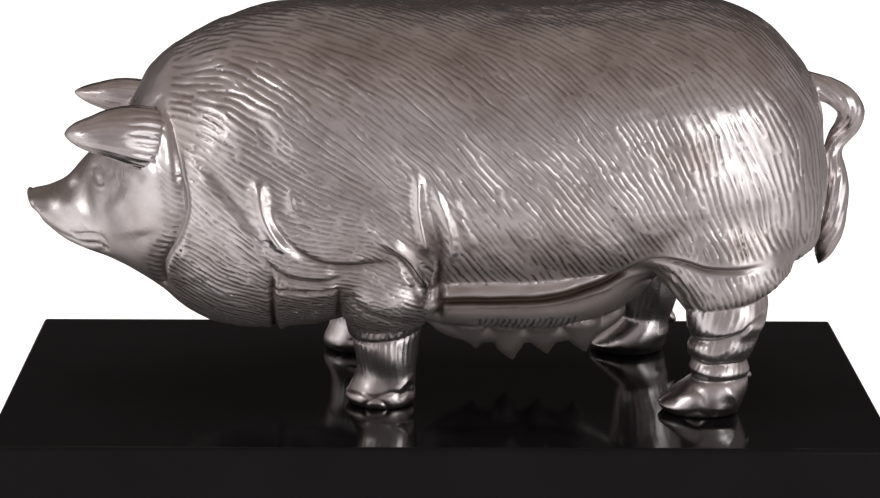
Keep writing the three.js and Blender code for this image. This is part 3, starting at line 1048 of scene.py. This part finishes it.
        # each place then takes what it belongs to from the nearest limb
        skin.data.color_attributes.new("limb", "FLOAT_COLOR", "POINT")
        tell = skin.modifiers.new("tell", "DATA_TRANSFER")
        tell.object = source
        tell.use_vert_data = True
        tell.data_types_verts = {"COLOR_VERTEX"}
        tell.vert_mapping = "POLYINTERP_NEAREST"
        tell.layers_vcol_vert_select_src = "ALL"
        tell.layers_vcol_vert_select_dst = "NAME"
        mesh = evaluated(skin, "pig_figure")
        bpy.data.objects.remove(source)
        bpy.data.meshes.remove(parts)
        return mesh

    def unite(self, skin: Skin) -> None:
        """Lets haunches, shoulders, neck and udder flow into the barrel where no fold parts them.

        Args:
            skin: the bare skin.
        """
        x, y, z = skin.at.T
        wide = smoothstep(20, 34, np.abs(y))
        back_x = skin.as_near(HIND_STEP)
        fore_x = skin.as_near(FORE_STEP)
        # how much each place takes part, by its height and by its x as on the near side
        haunch = plateau(78, 90, 140, 160, z) * plateau(96, 108, 206, 222, back_x)
        shoulder = plateau(70, 80, 98, 112, z) * plateau(-78, -66, -8, 6, fore_x)
        belly = plateau(60, 65, 78, 86, z) * smoothstep(-6, 4, x) * smoothstep(128, 112, back_x)
        neck = plateau(-188, -180, -142, -132, x)
        ears = plateau(126, 134, 174, 182, z) * smoothstep(26, 32, np.abs(y))
        limbs = skin.of(Limb.BARREL, Limb.THIGH, Limb.ARM, Limb.UDDER, Limb.HEAD)
        rounds = 360
        skin.soften(np.maximum(np.maximum(haunch, shoulder) * wide, neck * (1 - ears)) * limbs, rounds)
        skin.soften(belly * wide * limbs, rounds // 5)

    def features(self, skin: Skin) -> None:
        """Sinks nostrils, mouth corners, pinholes and the clefts of the hooves.

        Args:
            skin: the folded skin.
        """
        x, y, z = skin.at.T
        lift = np.zeros(len(x))

        def pit(px: float, py: float | None, pz: float, depth: float, radius: float, where: Array) -> None:
            """Sinks a round pit.

            Args:
                px: its place along x.
                py: its place along y, or None for a pit that is placed in side view.
                pz: its height.
                depth: how deep it is.
                radius: how wide it is.
                where: 1 where the skin may sink and 0 elsewhere.
            """
            across = 0.0 if py is None else (y - py) ** 2
            gap = np.sqrt((x - px) ** 2 + across + (z - pz) ** 2)
            dent = np.exp(-((gap / radius) ** 2)) * where
            lift[:] -= depth * dent
            skin.hollow[:] = np.maximum(skin.hollow, dent)

        head = skin.of(Limb.HEAD)
        # the groove round the snout's disc
        lift -= 0.8 * np.exp(-(((x + 0.22 * (z - 105) + 235.2) / 1.5) ** 2)) * head
        # a nostril and a corner of the mouth on each side
        for side in (Side.NEAR.value, Side.FAR.value):
            pit(-239, side * 3.7, 108.4, 2.2, 2.0, head * (skin.out[:, 0] < -0.5))
            pit(-192.6, None, 84.2, 1.5, 1.5, head * (y * side > 5))
        for px, pz in PINHOLES:
            pit(px, None, pz, 0.8, 1.1, (y < -40).astype(float))
        # the clefts, which stand in the middle of each near and far hoof
        for limb, near_y, far_y in ((Limb.FORE_SHANK, -46.0, 62.0), (Limb.HIND_SHANK, -61.0, 59.0)):
            on = skin.of(limb) * (1 - smoothstep(9, 15, z))
            middle = np.where(y < 0, near_y, far_y)
            cleft = np.exp(-(((y - middle) / 1.5) ** 2)) * on * smoothstep(0.2, 0.6, np.abs(skin.out[:, 0]))
            lift -= 2.0 * cleft
            skin.hollow = np.maximum(skin.hollow, cleft)
        skin.push(lift)

    def strokes(self, skin: Skin) -> None:
        """Tools fine lines, the ruff and the marks, and works out the tarnish, the painted shade and the
        polish.

        Args:
            skin: the folded skin with its features.
        """
        x, y, z = skin.at.T
        lift = np.zeros(len(x))
        chance = np.random.default_rng(SEED)
        wander = chance.uniform(0, 2 * math.pi, 6)

        def score(amount: Array, phase: Array, dirt: float = 0.6) -> None:
            """Cuts furrows side by side.

            Args:
                amount: how deep they are at each place.
                phase: the angle across the furrows, a full turn for each.
                dirt: how dark a deep one gets, from 0 to 1.
            """
            cut = (1 - np.abs(np.cos(phase / 2))) ** 1.3
            lift[:] -= amount * cut
            skin.hollow[:] = np.maximum(skin.hollow, cut * np.clip(amount / 0.7, 0, 1) * dirt)

        # the ears: fine lines on the outer half, deep ones at the root
        ear = skin.of(Limb.EAR)
        base = 1 - smoothstep(0.40, 0.50, skin.share)
        wave = 0.35 * np.sin(9 * skin.share + wander[0]) + 0.25 * np.sin(23 * skin.share + 3 * skin.turn)
        score(0.26 * ear * (1 - base) * smoothstep(0.98, 0.9, skin.share), 27 * skin.turn + wave)
        score(0.75 * ear * base, 21 * skin.turn + 2 * wave)
        # hair down the shanks, above the hooves, and round the tail
        shank = skin.of(Limb.FORE_SHANK) * smoothstep(15, 24, z)
        score(0.42 * shank, 36 * skin.turn + 1.6 * np.sin(z / 6 + wander[1]) + 0.6 * np.sin(z / 2.3), 0.35)
        shank = skin.of(Limb.HIND_SHANK) * smoothstep(15, 24, z)
        score(0.3 * shank, 31 * skin.turn + 1.1 * np.sin(z / 4 + wander[2]) + z / 6, 0.35)
        tail = skin.of(Limb.TAIL) * smoothstep(0.04, 0.12, skin.share)
        score(0.45 * tail, 11 * skin.turn + 80 * skin.share + np.sin(14 * skin.share + wander[3]))
        # faint hair on the cheek, and firmer hair at the temple
        head = skin.of(Limb.HEAD)
        score(0.07 * head * smoothstep(-196, -178, x), 2.1 * z + 1.4 * np.sin(x / 6) + 0.8 * x)
        temple = head * plateau(-189, -184, -175, -170, x) * smoothstep(112, 120, z)
        score(0.2 * temple * smoothstep(142, 134, z), 3.4 * x + 0.5 * z + 1.2 * np.sin(z / 4))

        self.ruff(skin, lift)
        bare = self.marks(skin, lift)
        skin.push(lift)
        skin.hollow *= bare
        # tarnish with painted shade, kept off the marks
        skin.patina_and_shade = self.tarnish_and_painted_shade(skin) * bare
        shanks = skin.of(Limb.FORE_SHANK, Limb.HIND_SHANK)
        rubbed = skin.spread(skin.of(Limb.HEAD, Limb.EAR, Limb.TAIL) + 0.4 * shanks, 10)
        skin.polish = np.maximum(rubbed, np.clip(skin.crest, 0, 1))

    def ruff(self, skin: Skin, lift: Array) -> None:
        """Tools short strokes in front of the collar, the upper ones longer and steeper.

        Args:
            skin: the skin.
            lift: how far out each place will move, which the strokes lessen.
        """
        x, y, z = skin.at.T
        collar = np.array(COLLAR)[::-1]
        cheek = skin.of(Limb.HEAD, Limb.BARREL) * (np.abs(y) > 30)
        for height in np.arange(137.0, 66.0, -3.4):
            upper = float(smoothstep(104, 122, np.array(height)))
            end = np.interp(height, collar[:, 1], collar[:, 0]) - 2.6
            run = np.array([7.0 + 5.0 * upper, -0.6 - 5.4 * upper])
            off = np.column_stack([x - end + run[0], z - height + run[1]])
            share = np.clip(off @ run / (run @ run), 0, 1)
            bow = (0.5 + 1.0 * upper) * np.sin(math.pi * share)
            gap = np.hypot(off[:, 0] - share * run[0], off[:, 1] - share * run[1] + bow)
            cut = np.exp(-((gap / 1.0) ** 2)) * cheek
            lift -= 0.62 * cut * (0.4 + 0.6 * share)
            skin.hollow = np.maximum(skin.hollow, 0.6 * cut)

    def marks(self, skin: Skin, lift: Array) -> Array:
        """Tools two rows of shallow slanting strokes on the near side's belly band.

        Args:
            skin: the skin.
            lift: how far out each place will move, which the strokes lessen.

        Returns:
            1 where the skin has no such stroke, and less in them, because they are left clear of tarnish and
            of painted shade, so they stand out bright on the darkened band.
        """
        x, y, z = skin.at.T
        first_x, apart, slant = 22, 3.35, 0.9
        depth, width = 0.65, 1.15
        band = skin.of(Limb.UDDER) * (y < -35)
        bare = np.ones(len(x))
        for row, top, count in ((0, 55.5, 17), (1, 50.5, 19)):
            for i in range(count):
                start = first_x + row * 1.5 + i * apart
                rise = 0.02 * (start - first_x)
                long = 3.0 if (i + row) % 3 else 4.2
                off_x, off_z = x - start, z - (top + rise)
                down = np.clip(-off_z / long, 0, 1)
                gap = np.hypot(off_x + slant * down, off_z + down * long)
                cut = np.exp(-((gap / width) ** 2)) * band
                lift -= depth * cut
                bare *= 1 - cut
        return bare

    def tarnish_and_painted_shade(self, skin: Skin) -> Array:
        """Works out where the plate is painted brown: tarnish round the creases, painted shade on the belly
        band under the flank's fold and on parts that face down, a painted dark reflection on the upper snout,
        and a brown patch round the eye.

        Args:
            skin: the folded skin.

        Returns:
            How brown each place is, from 0 to 1.
        """
        x, _, z = skin.at.T
        # tarnish in the creases of the belly and limbs, and painted shade on the belly band under the flank's
        # fold
        furrows = np.clip(skin.hollow, 0, 1) * (skin.of(Limb.EAR) < 1)
        creases = 1.5 * skin.spread(furrows, 45)
        behind = smoothstep(124, 104, skin.as_near(HIND_STEP))
        under = 0.95 * smoothstep(5.5, 1.0, skin.over_flank()) * smoothstep(-6, 0, x) * behind
        under *= skin.of(Limb.UDDER, Limb.TEAT, Limb.BARREL)
        # painted shade on every part that faces down
        facing_down = 0.75 * smoothstep(-0.05, -0.6, skin.out[:, 2]) * smoothstep(16, 30, z)
        facing_down *= 1 - 0.85 * skin.of(Limb.EAR, Limb.TAIL, Limb.FORE_SHANK, Limb.HIND_SHANK)
        # a painted dark reflection on the upper snout
        snout = skin.of(Limb.HEAD) * smoothstep(-207, -214, x - 0.5 * (z - 112)) * smoothstep(104, 110, z)
        eye = 0.7 * skin.of(Limb.HEAD) * np.exp(-(((x + 202) / 7) ** 2) - ((z - 120) / 16) ** 2)
        brown = np.maximum.reduce([0.55 * np.clip(creases, 0, 1), under, facing_down, snout, eye])
        # the crests are kept clear of tarnish and painted shade, so they stay bright
        return np.clip(brown * (1 - 1.6 * skin.crest), 0, 1)

    def comb(self, skin: Skin) -> None:
        """Combs the hair over barrel, arms and thighs.

        Args:
            skin: the skin.
        """
        x, y, z = skin.at.T
        phase, firm = Comb(count=17000).furrows(skin.at, skin.out, SEED)
        wide, _ = Comb(20, 8, 2600, 3.1, 18).furrows(skin.at, skin.out, SEED + 1)
        back_x = skin.as_near(HIND_STEP)
        over = skin.over_flank()
        # hair grows over the flank's fold, and under it only on the thigh and in front of the foreleg
        above = smoothstep(2.5, 7.0, over)
        below = smoothstep(-2.0, -5.0, over) * smoothstep(122, 140, back_x + 0.5 * (z - 60))
        collar = np.array(COLLAR)[::-1]
        behind = x - np.interp(z, collar[:, 1], collar[:, 0])
        hairy = np.where(back_x > 0, np.maximum(above, below), smoothstep(-4, 4, np.abs(y) + over))
        hairy *= smoothstep(0.5, 3.0, behind) * skin.of(Limb.BARREL, Limb.ARM, Limb.THIGH, Limb.HEAD)
        # it lies flat in furrows and on rolls
        plainer = 1 - 0.3 * smoothstep(15, 50, y)  # the far side, which the photograph doesn't show
        hairy *= (1 - 0.6 * skin.hollow) * np.clip(1 - 1.1 * skin.crest, 0, 1) * plainer
        cut = (1 - np.abs(np.cos(phase / 2))) ** 1.25
        deep = 0.82 + 0.18 * np.cos(wide)
        lock = 0.5 + 0.5 * np.cos(wide)
        skin.hollow = np.maximum(skin.hollow, np.clip(1.15 * cut * deep * firm, 0, 1) * hairy)
        skin.push(hairy * (-self.hair_depth * cut * deep * firm + self.lock_depth * (lock - 0.5)))

    def unevenness(self, skin: Skin) -> None:
        """Lets the skin swell and sink a little, as a hand-worked model does.

        Args:
            skin: the skin.
        """
        chance = np.random.default_rng(SEED + 2)
        lift = np.zeros(len(skin.at))
        # three sizes of waves, with how high they rise
        for size, height in ((38, 0.6), (17, 0.2), (8, 0.06)):
            for _ in range(7):
                way = unit(chance.standard_normal((1, 3)))[0] * 2 * math.pi / size
                lift += height / 7**0.5 * np.sin(skin.at @ way + chance.uniform(0, 6.28))
        skin.push(lift * (1 - 0.6 * skin.of(Limb.HEAD, Limb.EAR)) * smoothstep(0, 6, skin.at[:, 2]))

    def build(self) -> bpy.types.Object:
        """Builds the whole sow in place on the block.

        Returns:
            The piece.
        """
        skin = Skin(self.joined())
        log.info("skin of %d points", len(skin.at))
        self.unite(skin)
        self.unevenness(skin)
        skin.fold(BODY_FOLDS)
        skin.fold(FACE_FOLDS)
        self.features(skin)
        self.strokes(skin)
        self.comb(skin)
        mesh = skin.mesh
        # the patina attribute carries tarnish together with painted shade to the material
        for name, values in (("hollow", skin.hollow), ("patina_and_shade", skin.patina_and_shade), ("polish", skin.polish)):
            mesh.attributes.new(name, "FLOAT", "POINT").data.foreach_set("value", values.astype(np.float32))
        mesh.attributes.remove(mesh.attributes["limb"])
        dense = link(mesh, "dense")
        thin = dense.modifiers.new("thin", "DECIMATE")
        thin.ratio = min(1.0, self.triangles / sum(len(p.vertices) - 2 for p in mesh.polygons))
        final = evaluated(dense, "pig_figure")
        final.transform(Matrix.Translation((0, SOW_OFFSET_Y * MM, BLOCK_HEIGHT * MM)) @ Matrix.Scale(MM, 4))
        final.polygons.foreach_set("use_smooth", np.ones(len(final.polygons), dtype=bool))
        final.validate()
        log.info("pig_figure has %d triangles", sum(len(p.vertices) - 2 for p in final.polygons))
        return link(final, "pig_figure")


# Finishes


def linear(colour: str) -> tuple[float, float, float, float]:
    """Turns an sRGB colour into a linear one.

    Args:
        colour: the colour in hex, such as "#c6bcb9".

    Returns:
        Red, green, blue and a full alpha.
    """
    parts = [int(colour[i : i + 2], 16) / 255 for i in (1, 3, 5)]
    red, green, blue = (v / 12.92 if v <= 0.04045 else ((v + 0.055) / 1.055) ** 2.4 for v in parts)
    return (red, green, blue, 1.0)


def add_node(tree: bpy.types.NodeTree, kind: str, inputs: dict[Any, Any], **settings: Any) -> bpy.types.Node:
    """Adds a node with its settings, and gives each input a value or a link.

    Args:
        tree: the node tree.
        kind: the node's type.
        inputs: socket name or number to a value, or to another node's output.
        **settings: the node's own properties.

    Returns:
        The new node.
    """
    node = tree.nodes.new(kind)
    for name, value in settings.items():
        setattr(node, name, value)
    for key, value in inputs.items():
        if isinstance(value, bpy.types.NodeSocket):
            tree.links.new(value, node.inputs[key])
        else:
            node.inputs[key].default_value = value
    return node


def new_material(name: str) -> tuple[bpy.types.Material, bpy.types.NodeTree]:
    """Makes an empty node material.

    Args:
        name: the material's name.

    Returns:
        The material and its node tree.
    """
    material = bpy.data.materials.new(name)
    material.use_nodes = True
    material.node_tree.nodes.clear()
    return material, material.node_tree


@dataclass(frozen=True)
class SilverPlate:
    """Silver plate over a casting that was tooled by hand and rubbed.

    It gives the eye a bright, warm metal with soft reflections. The tooled furrows and the creases hold
    brown tarnish, which is duller, and hands and cloths have kept head, ears and rolls smoother. The same
    brown also paints shade under the belly band, on parts that face down and on the upper snout.
    """

    bright: str = "#ebe5e4"
    dull: str = "#c6bcb9"
    tarnish_and_shade: str = "#51443c"
    roughness: float = 0.32
    cloud_mm: float = 34.0  # patches of handling
    cloud_edge: tuple[float, float] = (0.42, 0.68)  # where in the clouds the dull patches begin and are full
    cloud_rough: float = 0.22
    grain_mm: float = 1.6  # cast skin under the plate, drawn as coarse as it needs to show
    grain_depth_mm: float = 0.08
    grain_strength: float = 0.3
    furrow_power: float = 1.2
    furrow_tarnish: float = 0.6
    patina_and_shade_tarnish: float = 0.82
    patina_and_shade_rough: float = 0.2
    patina_and_shade_dulls: float = 0.35  # how much less metal shows through it
    polish_smooths: float = 0.09

    def material(self) -> bpy.types.Material:
        """Builds the node material.

        Returns:
            The material, which reads the skin's attributes hollow, patina and polish.
        """
        material, tree = new_material("silver plate")
        add = partial(add_node, tree)
        noise, maths, mix = "ShaderNodeTexNoise", "ShaderNodeMath", "ShaderNodeMix"
        worked = ("hollow", "patina_and_shade", "polish")
        hollow, patina_and_shade, polish = (
            add("ShaderNodeAttribute", {}, attribute_name=name).outputs["Fac"] for name in worked
        )
        place = add("ShaderNodeTexCoord", {}).outputs["Object"]
        cloud = add(noise, {"Vector": place, "Scale": 1000 / self.cloud_mm, "Detail": 5.0}).outputs["Fac"]
        grain = add(noise, {"Vector": place, "Scale": 1000 / self.grain_mm, "Detail": 3.0}).outputs["Fac"]
        low, high = self.cloud_edge
        patch = add("ShaderNodeMapRange", {"Value": cloud, 1: low, 2: high}).outputs[0]
        skin = add(mix, {0: patch, 6: linear(self.bright), 7: linear(self.dull)}, data_type="RGBA").outputs[2]
        deep = add(maths, {0: hollow, 1: self.furrow_power}, operation="POWER", use_clamp=True).outputs[0]
        deep = add(maths, {0: deep, 1: self.furrow_tarnish}, operation="MULTIPLY").outputs[0]
        # the patina mask adds painted shade to the tarnish colour: belly band, down-facing parts and upper
        # snout
        brown = {0: patina_and_shade, 1: self.patina_and_shade_tarnish, 2: deep}
        deep = add(maths, brown, operation="MULTIPLY_ADD", use_clamp=True).outputs[0]
        colour = add(mix, {0: deep, 6: skin, 7: linear(self.tarnish_and_shade)}, data_type="RGBA").outputs[2]
        rough = self.roughness - self.cloud_rough / 2
        for source, amount in (
            (cloud, self.cloud_rough),
            (patina_and_shade, self.patina_and_shade_rough),
            (polish, -self.polish_smooths),
        ):
            rough = add(maths, {0: source, 1: amount, 2: rough}, operation="MULTIPLY_ADD").outputs[0]
        # painted shade and tarnish also make the plate less metallic
        metal = add(maths, {0: patina_and_shade, 1: -self.patina_and_shade_dulls, 2: 1.0}, operation="MULTIPLY_ADD").outputs[0]
        relief = {"Height": grain, "Strength": self.grain_strength, "Distance": self.grain_depth_mm * MM}
        bump = add("ShaderNodeBump", relief).outputs[0]
        finish = {"Base Color": colour, "Metallic": metal, "Roughness": rough, "Normal": bump}
        shader = add("ShaderNodeBsdfPrincipled", finish).outputs[0]
        add("ShaderNodeOutputMaterial", {"Surface": shader})
        return material


@dataclass(frozen=True)
class BlackLacquer:
    """Black piano lacquer, sprayed on a wooden block and polished.

    It gives the eye a deep black with clear reflections, a faint polishing haze, and the slow waves
    that lacquer keeps when it levels.
    """

    colour: str = "#0b0a0b"
    haze: str = "#151315"
    roughness: float = 0.05
    haze_mm: float = 45.0
    haze_rough: float = 0.06
    wave_mm: float = 14.0
    wave_depth_mm: float = 0.02
    wave_strength: float = 0.1
    ior: float = 1.5
    gloss: float = 0.22

    def material(self) -> bpy.types.Material:
        """Builds the node material.

        Returns:
            The material.
        """
        material, tree = new_material("black piano lacquer")
        add = partial(add_node, tree)
        noise = "ShaderNodeTexNoise"
        place = add("ShaderNodeTexCoord", {}).outputs["Object"]
        cloud = add(noise, {"Vector": place, "Scale": 1000 / self.haze_mm, "Detail": 6.0}).outputs["Fac"]
        wave = add(noise, {"Vector": place, "Scale": 1000 / self.wave_mm, "Detail": 1.0}).outputs["Fac"]
        hazy = {0: cloud, 6: linear(self.colour), 7: linear(self.haze)}
        colour = add("ShaderNodeMix", hazy, data_type="RGBA").outputs[2]
        dulled = {0: cloud, 1: self.haze_rough, 2: self.roughness}
        rough = add("ShaderNodeMath", dulled, operation="MULTIPLY_ADD").outputs[0]
        relief = {"Height": wave, "Strength": self.wave_strength, "Distance": self.wave_depth_mm * MM}
        bump = add("ShaderNodeBump", relief).outputs[0]
        finish = {"Base Color": colour, "Roughness": rough, "Normal": bump}
        coat = {"IOR": self.ior, "Specular IOR Level": self.gloss}
        shader = add("ShaderNodeBsdfPrincipled", {**finish, **coat}).outputs[0]
        add("ShaderNodeOutputMaterial", {"Surface": shader})
        return material


@dataclass(frozen=True)
class PaleFloor:
    """Matt white studio board, which glows a little so that it stays pale as far as the horizon."""

    colour: str = "#f4f4f3"
    roughness: float = 0.9
    glow: float = 0.5

    def material(self) -> bpy.types.Material:
        """Builds the node material.

        Returns:
            The material.
        """
        material, tree = new_material("pale floor")
        board = {"Base Color": linear(self.colour), "Roughness": self.roughness}
        light = {"Emission Color": linear(self.colour), "Emission Strength": self.glow}
        shader = add_node(tree, "ShaderNodeBsdfPrincipled", {**board, **light}).outputs[0]
        add_node(tree, "ShaderNodeOutputMaterial", {"Surface": shader})
        return material


# The block and the studio


@dataclass
class Block:
    """The lacquered block, with polished rounded edges."""

    length: float = 500.0
    depth: float = 250.0
    height: float = BLOCK_HEIGHT
    edge: float = 2.5
    edge_steps: int = 7
    curved_below: float = 0.001  # square metres: faces smaller than this are the edges' curve

    def build(self) -> bpy.types.Object:
        """Builds the block.

        Returns:
            The piece.
        """
        box = bmesh.new()
        bmesh.ops.create_cube(box, size=1.0)
        bmesh.ops.scale(box, vec=Vector((self.length, self.depth, self.height)) * MM, verts=box.verts)
        bmesh.ops.translate(box, vec=(0, 0, self.height / 2 * MM), verts=box.verts)
        bmesh.ops.bevel(
            box,
            geom=box.edges,
            offset=self.edge * MM,
            segments=self.edge_steps,
            profile=0.5,
            affect="EDGES",
            material=-1,
        )
        for face in box.faces:
            face.smooth = face.calc_area() < self.curved_below
        mesh = bpy.data.meshes.new("plinth_block")
        box.to_mesh(mesh)
        box.free()
        return link(mesh, "plinth_block")


@dataclass(frozen=True)
class Softbox:
    """A rectangular soft light: where it hangs, what it faces, its width and height in metres, and watts.

    gloss says whether it is seen in polished surfaces.
    """

    name: str
    at: tuple[float, float, float]
    aim: tuple[float, float, float]
    size: tuple[float, float]
    watts: float
    gloss: bool = True

    def build(self) -> None:
        """Hangs the light."""
        data = bpy.data.lights.new(self.name, "AREA")
        data.shape = "RECTANGLE"
        data.size, data.size_y = self.size
        data.energy = self.watts
        lamp = bpy.data.objects.new(self.name, data)
        bpy.context.scene.collection.objects.link(lamp)
        lamp.location = self.at
        lamp.rotation_euler = (Vector(self.aim) - Vector(self.at)).to_track_quat("-Z", "Y").to_euler()
        lamp.visible_glossy = self.gloss
        lamp.visible_camera = False


@dataclass
class Studio:
    """Floor, soft lights and the camera of the photographed view."""

    # the camera's place in metres and its turns in degrees, fitted to the block's top edges
    camera_at: tuple[float, float, float] = (-0.0187, -1.4739, 0.51036)
    pitch: float = 14.855
    yaw: float = 0.715
    roll: float = 0.397
    focal_px: float = 2615.35
    frame_px: int = 880
    sensor_mm: float = 36.0
    floor_reach: float = 6.0
    # the room's colour by degrees over the horizon, as polished metal sees it
    room: tuple[tuple[float, str], ...] = (
        (-84, "#5c5450"),
        (-62, "#b4adac"),
        (-42, "#cbc5c5"),
        (-28, "#b8b1b1"),
        (-16, "#9e9798"),
        (-4, "#928b8c"),
        (10, "#989091"),
        (26, "#a09796"),
        (44, "#988e8b"),
        (66, "#897d77"),
        (88, "#81766f"),
    )
    # pale cards: the way to each, how many degrees it spreads and is whole over, and its brightness
    cards: tuple[tuple[tuple[float, float, float], tuple[float, float], float], ...] = (
        ((-0.90, -0.38, -0.20), (50, 8), 0.55),
        ((0.65, -0.75, -0.10), (31, 19), 0.95),
    )
    # the dark back: its colour, how far round it comes in, and how it fades below the horizon
    back: str = "#332f2d"
    back_reach: tuple[float, float] = (0.4, 0.96)
    back_rise: tuple[float, float] = (-0.12, 0.06)
    back_low: float = 0.35
    backdrop: str = "#f4f4f3"  # what the camera sees behind the block
    lamps: tuple[Softbox, ...] = (
        Softbox("left", (-1.15, -0.75, 0.48), (-0.1, 0, 0.17), (0.4, 0.35), 1.3),
        Softbox("right", (0.85, -1.2, 0.22), (0.1, 0, 0.17), (0.35, 0.3), 1.6),
        Softbox("over the floor", (0, 0.7, 2.4), (0, 0.7, 0), (3.0, 2.6), 62, gloss=False),
    )

    def camera(self) -> None:
        """Sets the scene's camera."""
        data = bpy.data.cameras.new("camera")
        data.sensor_width = self.sensor_mm
        data.sensor_fit = "HORIZONTAL"
        data.lens = self.focal_px * self.sensor_mm / self.frame_px
        data.clip_start = 0.01
        data.clip_end = 50.0
        camera = bpy.data.objects.new("camera", data)
        bpy.context.scene.collection.objects.link(camera)
        pitch, yaw, roll = (math.radians(turn) for turn in (self.pitch, self.yaw, self.roll))
        level = math.cos(pitch)
        ahead = Vector((math.sin(yaw) * level, math.cos(yaw) * level, -math.sin(pitch)))
        right = Vector((math.cos(yaw), -math.sin(yaw), 0.0))
        up = right.cross(ahead)
        turned = right * math.cos(roll) + up * math.sin(roll)
        raised = up * math.cos(roll) - right * math.sin(roll)
        pose = Matrix((turned, raised, -ahead)).transposed().to_4x4()
        pose.translation = Vector(self.camera_at)
        camera.matrix_world = pose
        bpy.context.scene.camera = camera

    def world(self) -> None:
        """Gives the room: a brown ceiling, a mid grey front, a pale card at each side, and a dark back."""
        world = bpy.data.worlds.new("room")
        world.use_nodes = True
        tree = world.node_tree
        tree.nodes.clear()
        add = partial(add_node, tree)
        soft = {"interpolation_type": "SMOOTHSTEP"}
        span, mix = "ShaderNodeMapRange", "ShaderNodeMix"
        way = add("ShaderNodeTexCoord", {}).outputs["Generated"]
        _, away, raised = add("ShaderNodeSeparateXYZ", {0: way}).outputs
        height = add(span, {"Value": raised, 1: -1.0, 2: 1.0}).outputs[0]
        ramp = add("ShaderNodeValToRGB", {0: height})
        stops = ramp.color_ramp.elements
        for degrees, colour in self.room:
            stop = stops.new((math.sin(math.radians(degrees)) + 1) / 2)
            stop.color = linear(colour)
        stops.remove(stops[0])
        stops.remove(stops[-1])
        total = ramp.outputs[0]
        for axis, reach, amount in self.cards:
            near = add("ShaderNodeVectorMath", {0: way, 1: axis}, operation="DOT_PRODUCT").outputs["Value"]
            low, high = (math.cos(math.radians(angle)) for angle in reach)
            card = add(span, {"Value": near, 1: low, 2: high, 3: 0.0, 4: amount}, **soft).outputs[0]
            lit = {0: 1.0, 6: total, 7: card}
            total = add(mix, lit, data_type="RGBA", blend_type="ADD").outputs[2]
        low, high = self.back_reach
        behind = add(span, {"Value": away, 1: low, 2: high}, **soft).outputs[0]
        low, high = self.back_rise
        above = add(span, {"Value": raised, 1: low, 2: high, 3: self.back_low}, **soft).outputs[0]
        dark = add("ShaderNodeMath", {0: behind, 1: above}, operation="MULTIPLY").outputs[0]
        room = add(mix, {0: dark, 6: total, 7: linear(self.back)}, data_type="RGBA").outputs[2]
        seen = add("ShaderNodeLightPath", {}).outputs["Is Camera Ray"]
        both = add(mix, {0: seen, 6: room, 7: linear(self.backdrop)}, data_type="RGBA").outputs[2]
        light = add("ShaderNodeBackground", {0: both, 1: 1.0})
        add("ShaderNodeOutputWorld", {0: light.outputs[0]})
        bpy.context.scene.world = world

    def build(self) -> None:
        """Builds the floor, the lights and the camera."""
        sheet = bmesh.new()
        bmesh.ops.create_grid(sheet, x_segments=1, y_segments=1, size=self.floor_reach)
        mesh = bpy.data.meshes.new("floor")
        sheet.to_mesh(mesh)
        sheet.free()
        floor = link(mesh, "floor")
        floor.visible_glossy = False  # the polished pieces mirror the room's cards in place of it
        mesh.materials.append(PaleFloor().material())
        for lamp in self.lamps:
            lamp.build()
        self.world()
        self.camera()
        bpy.context.scene.view_settings.view_transform = "Standard"


def main() -> None:
    """Builds every piece in order."""
    logging.basicConfig(level=logging.INFO, format="%(name)s: %(message)s")
    block = Block().build()
    block.data.materials.append(BlackLacquer().material())
    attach(block, "root")
    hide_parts("plinth")
    log.info("plinth_block is built")
    sow = Sow().build()
    sow.data.materials.clear()
    sow.data.materials.append(SilverPlate().material())
    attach(sow, "root")
    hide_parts("pig")
    log.info("pig_figure is built")
    Studio().build()
    log.info("studio is built")


if __name__ == "__main__":
    main()
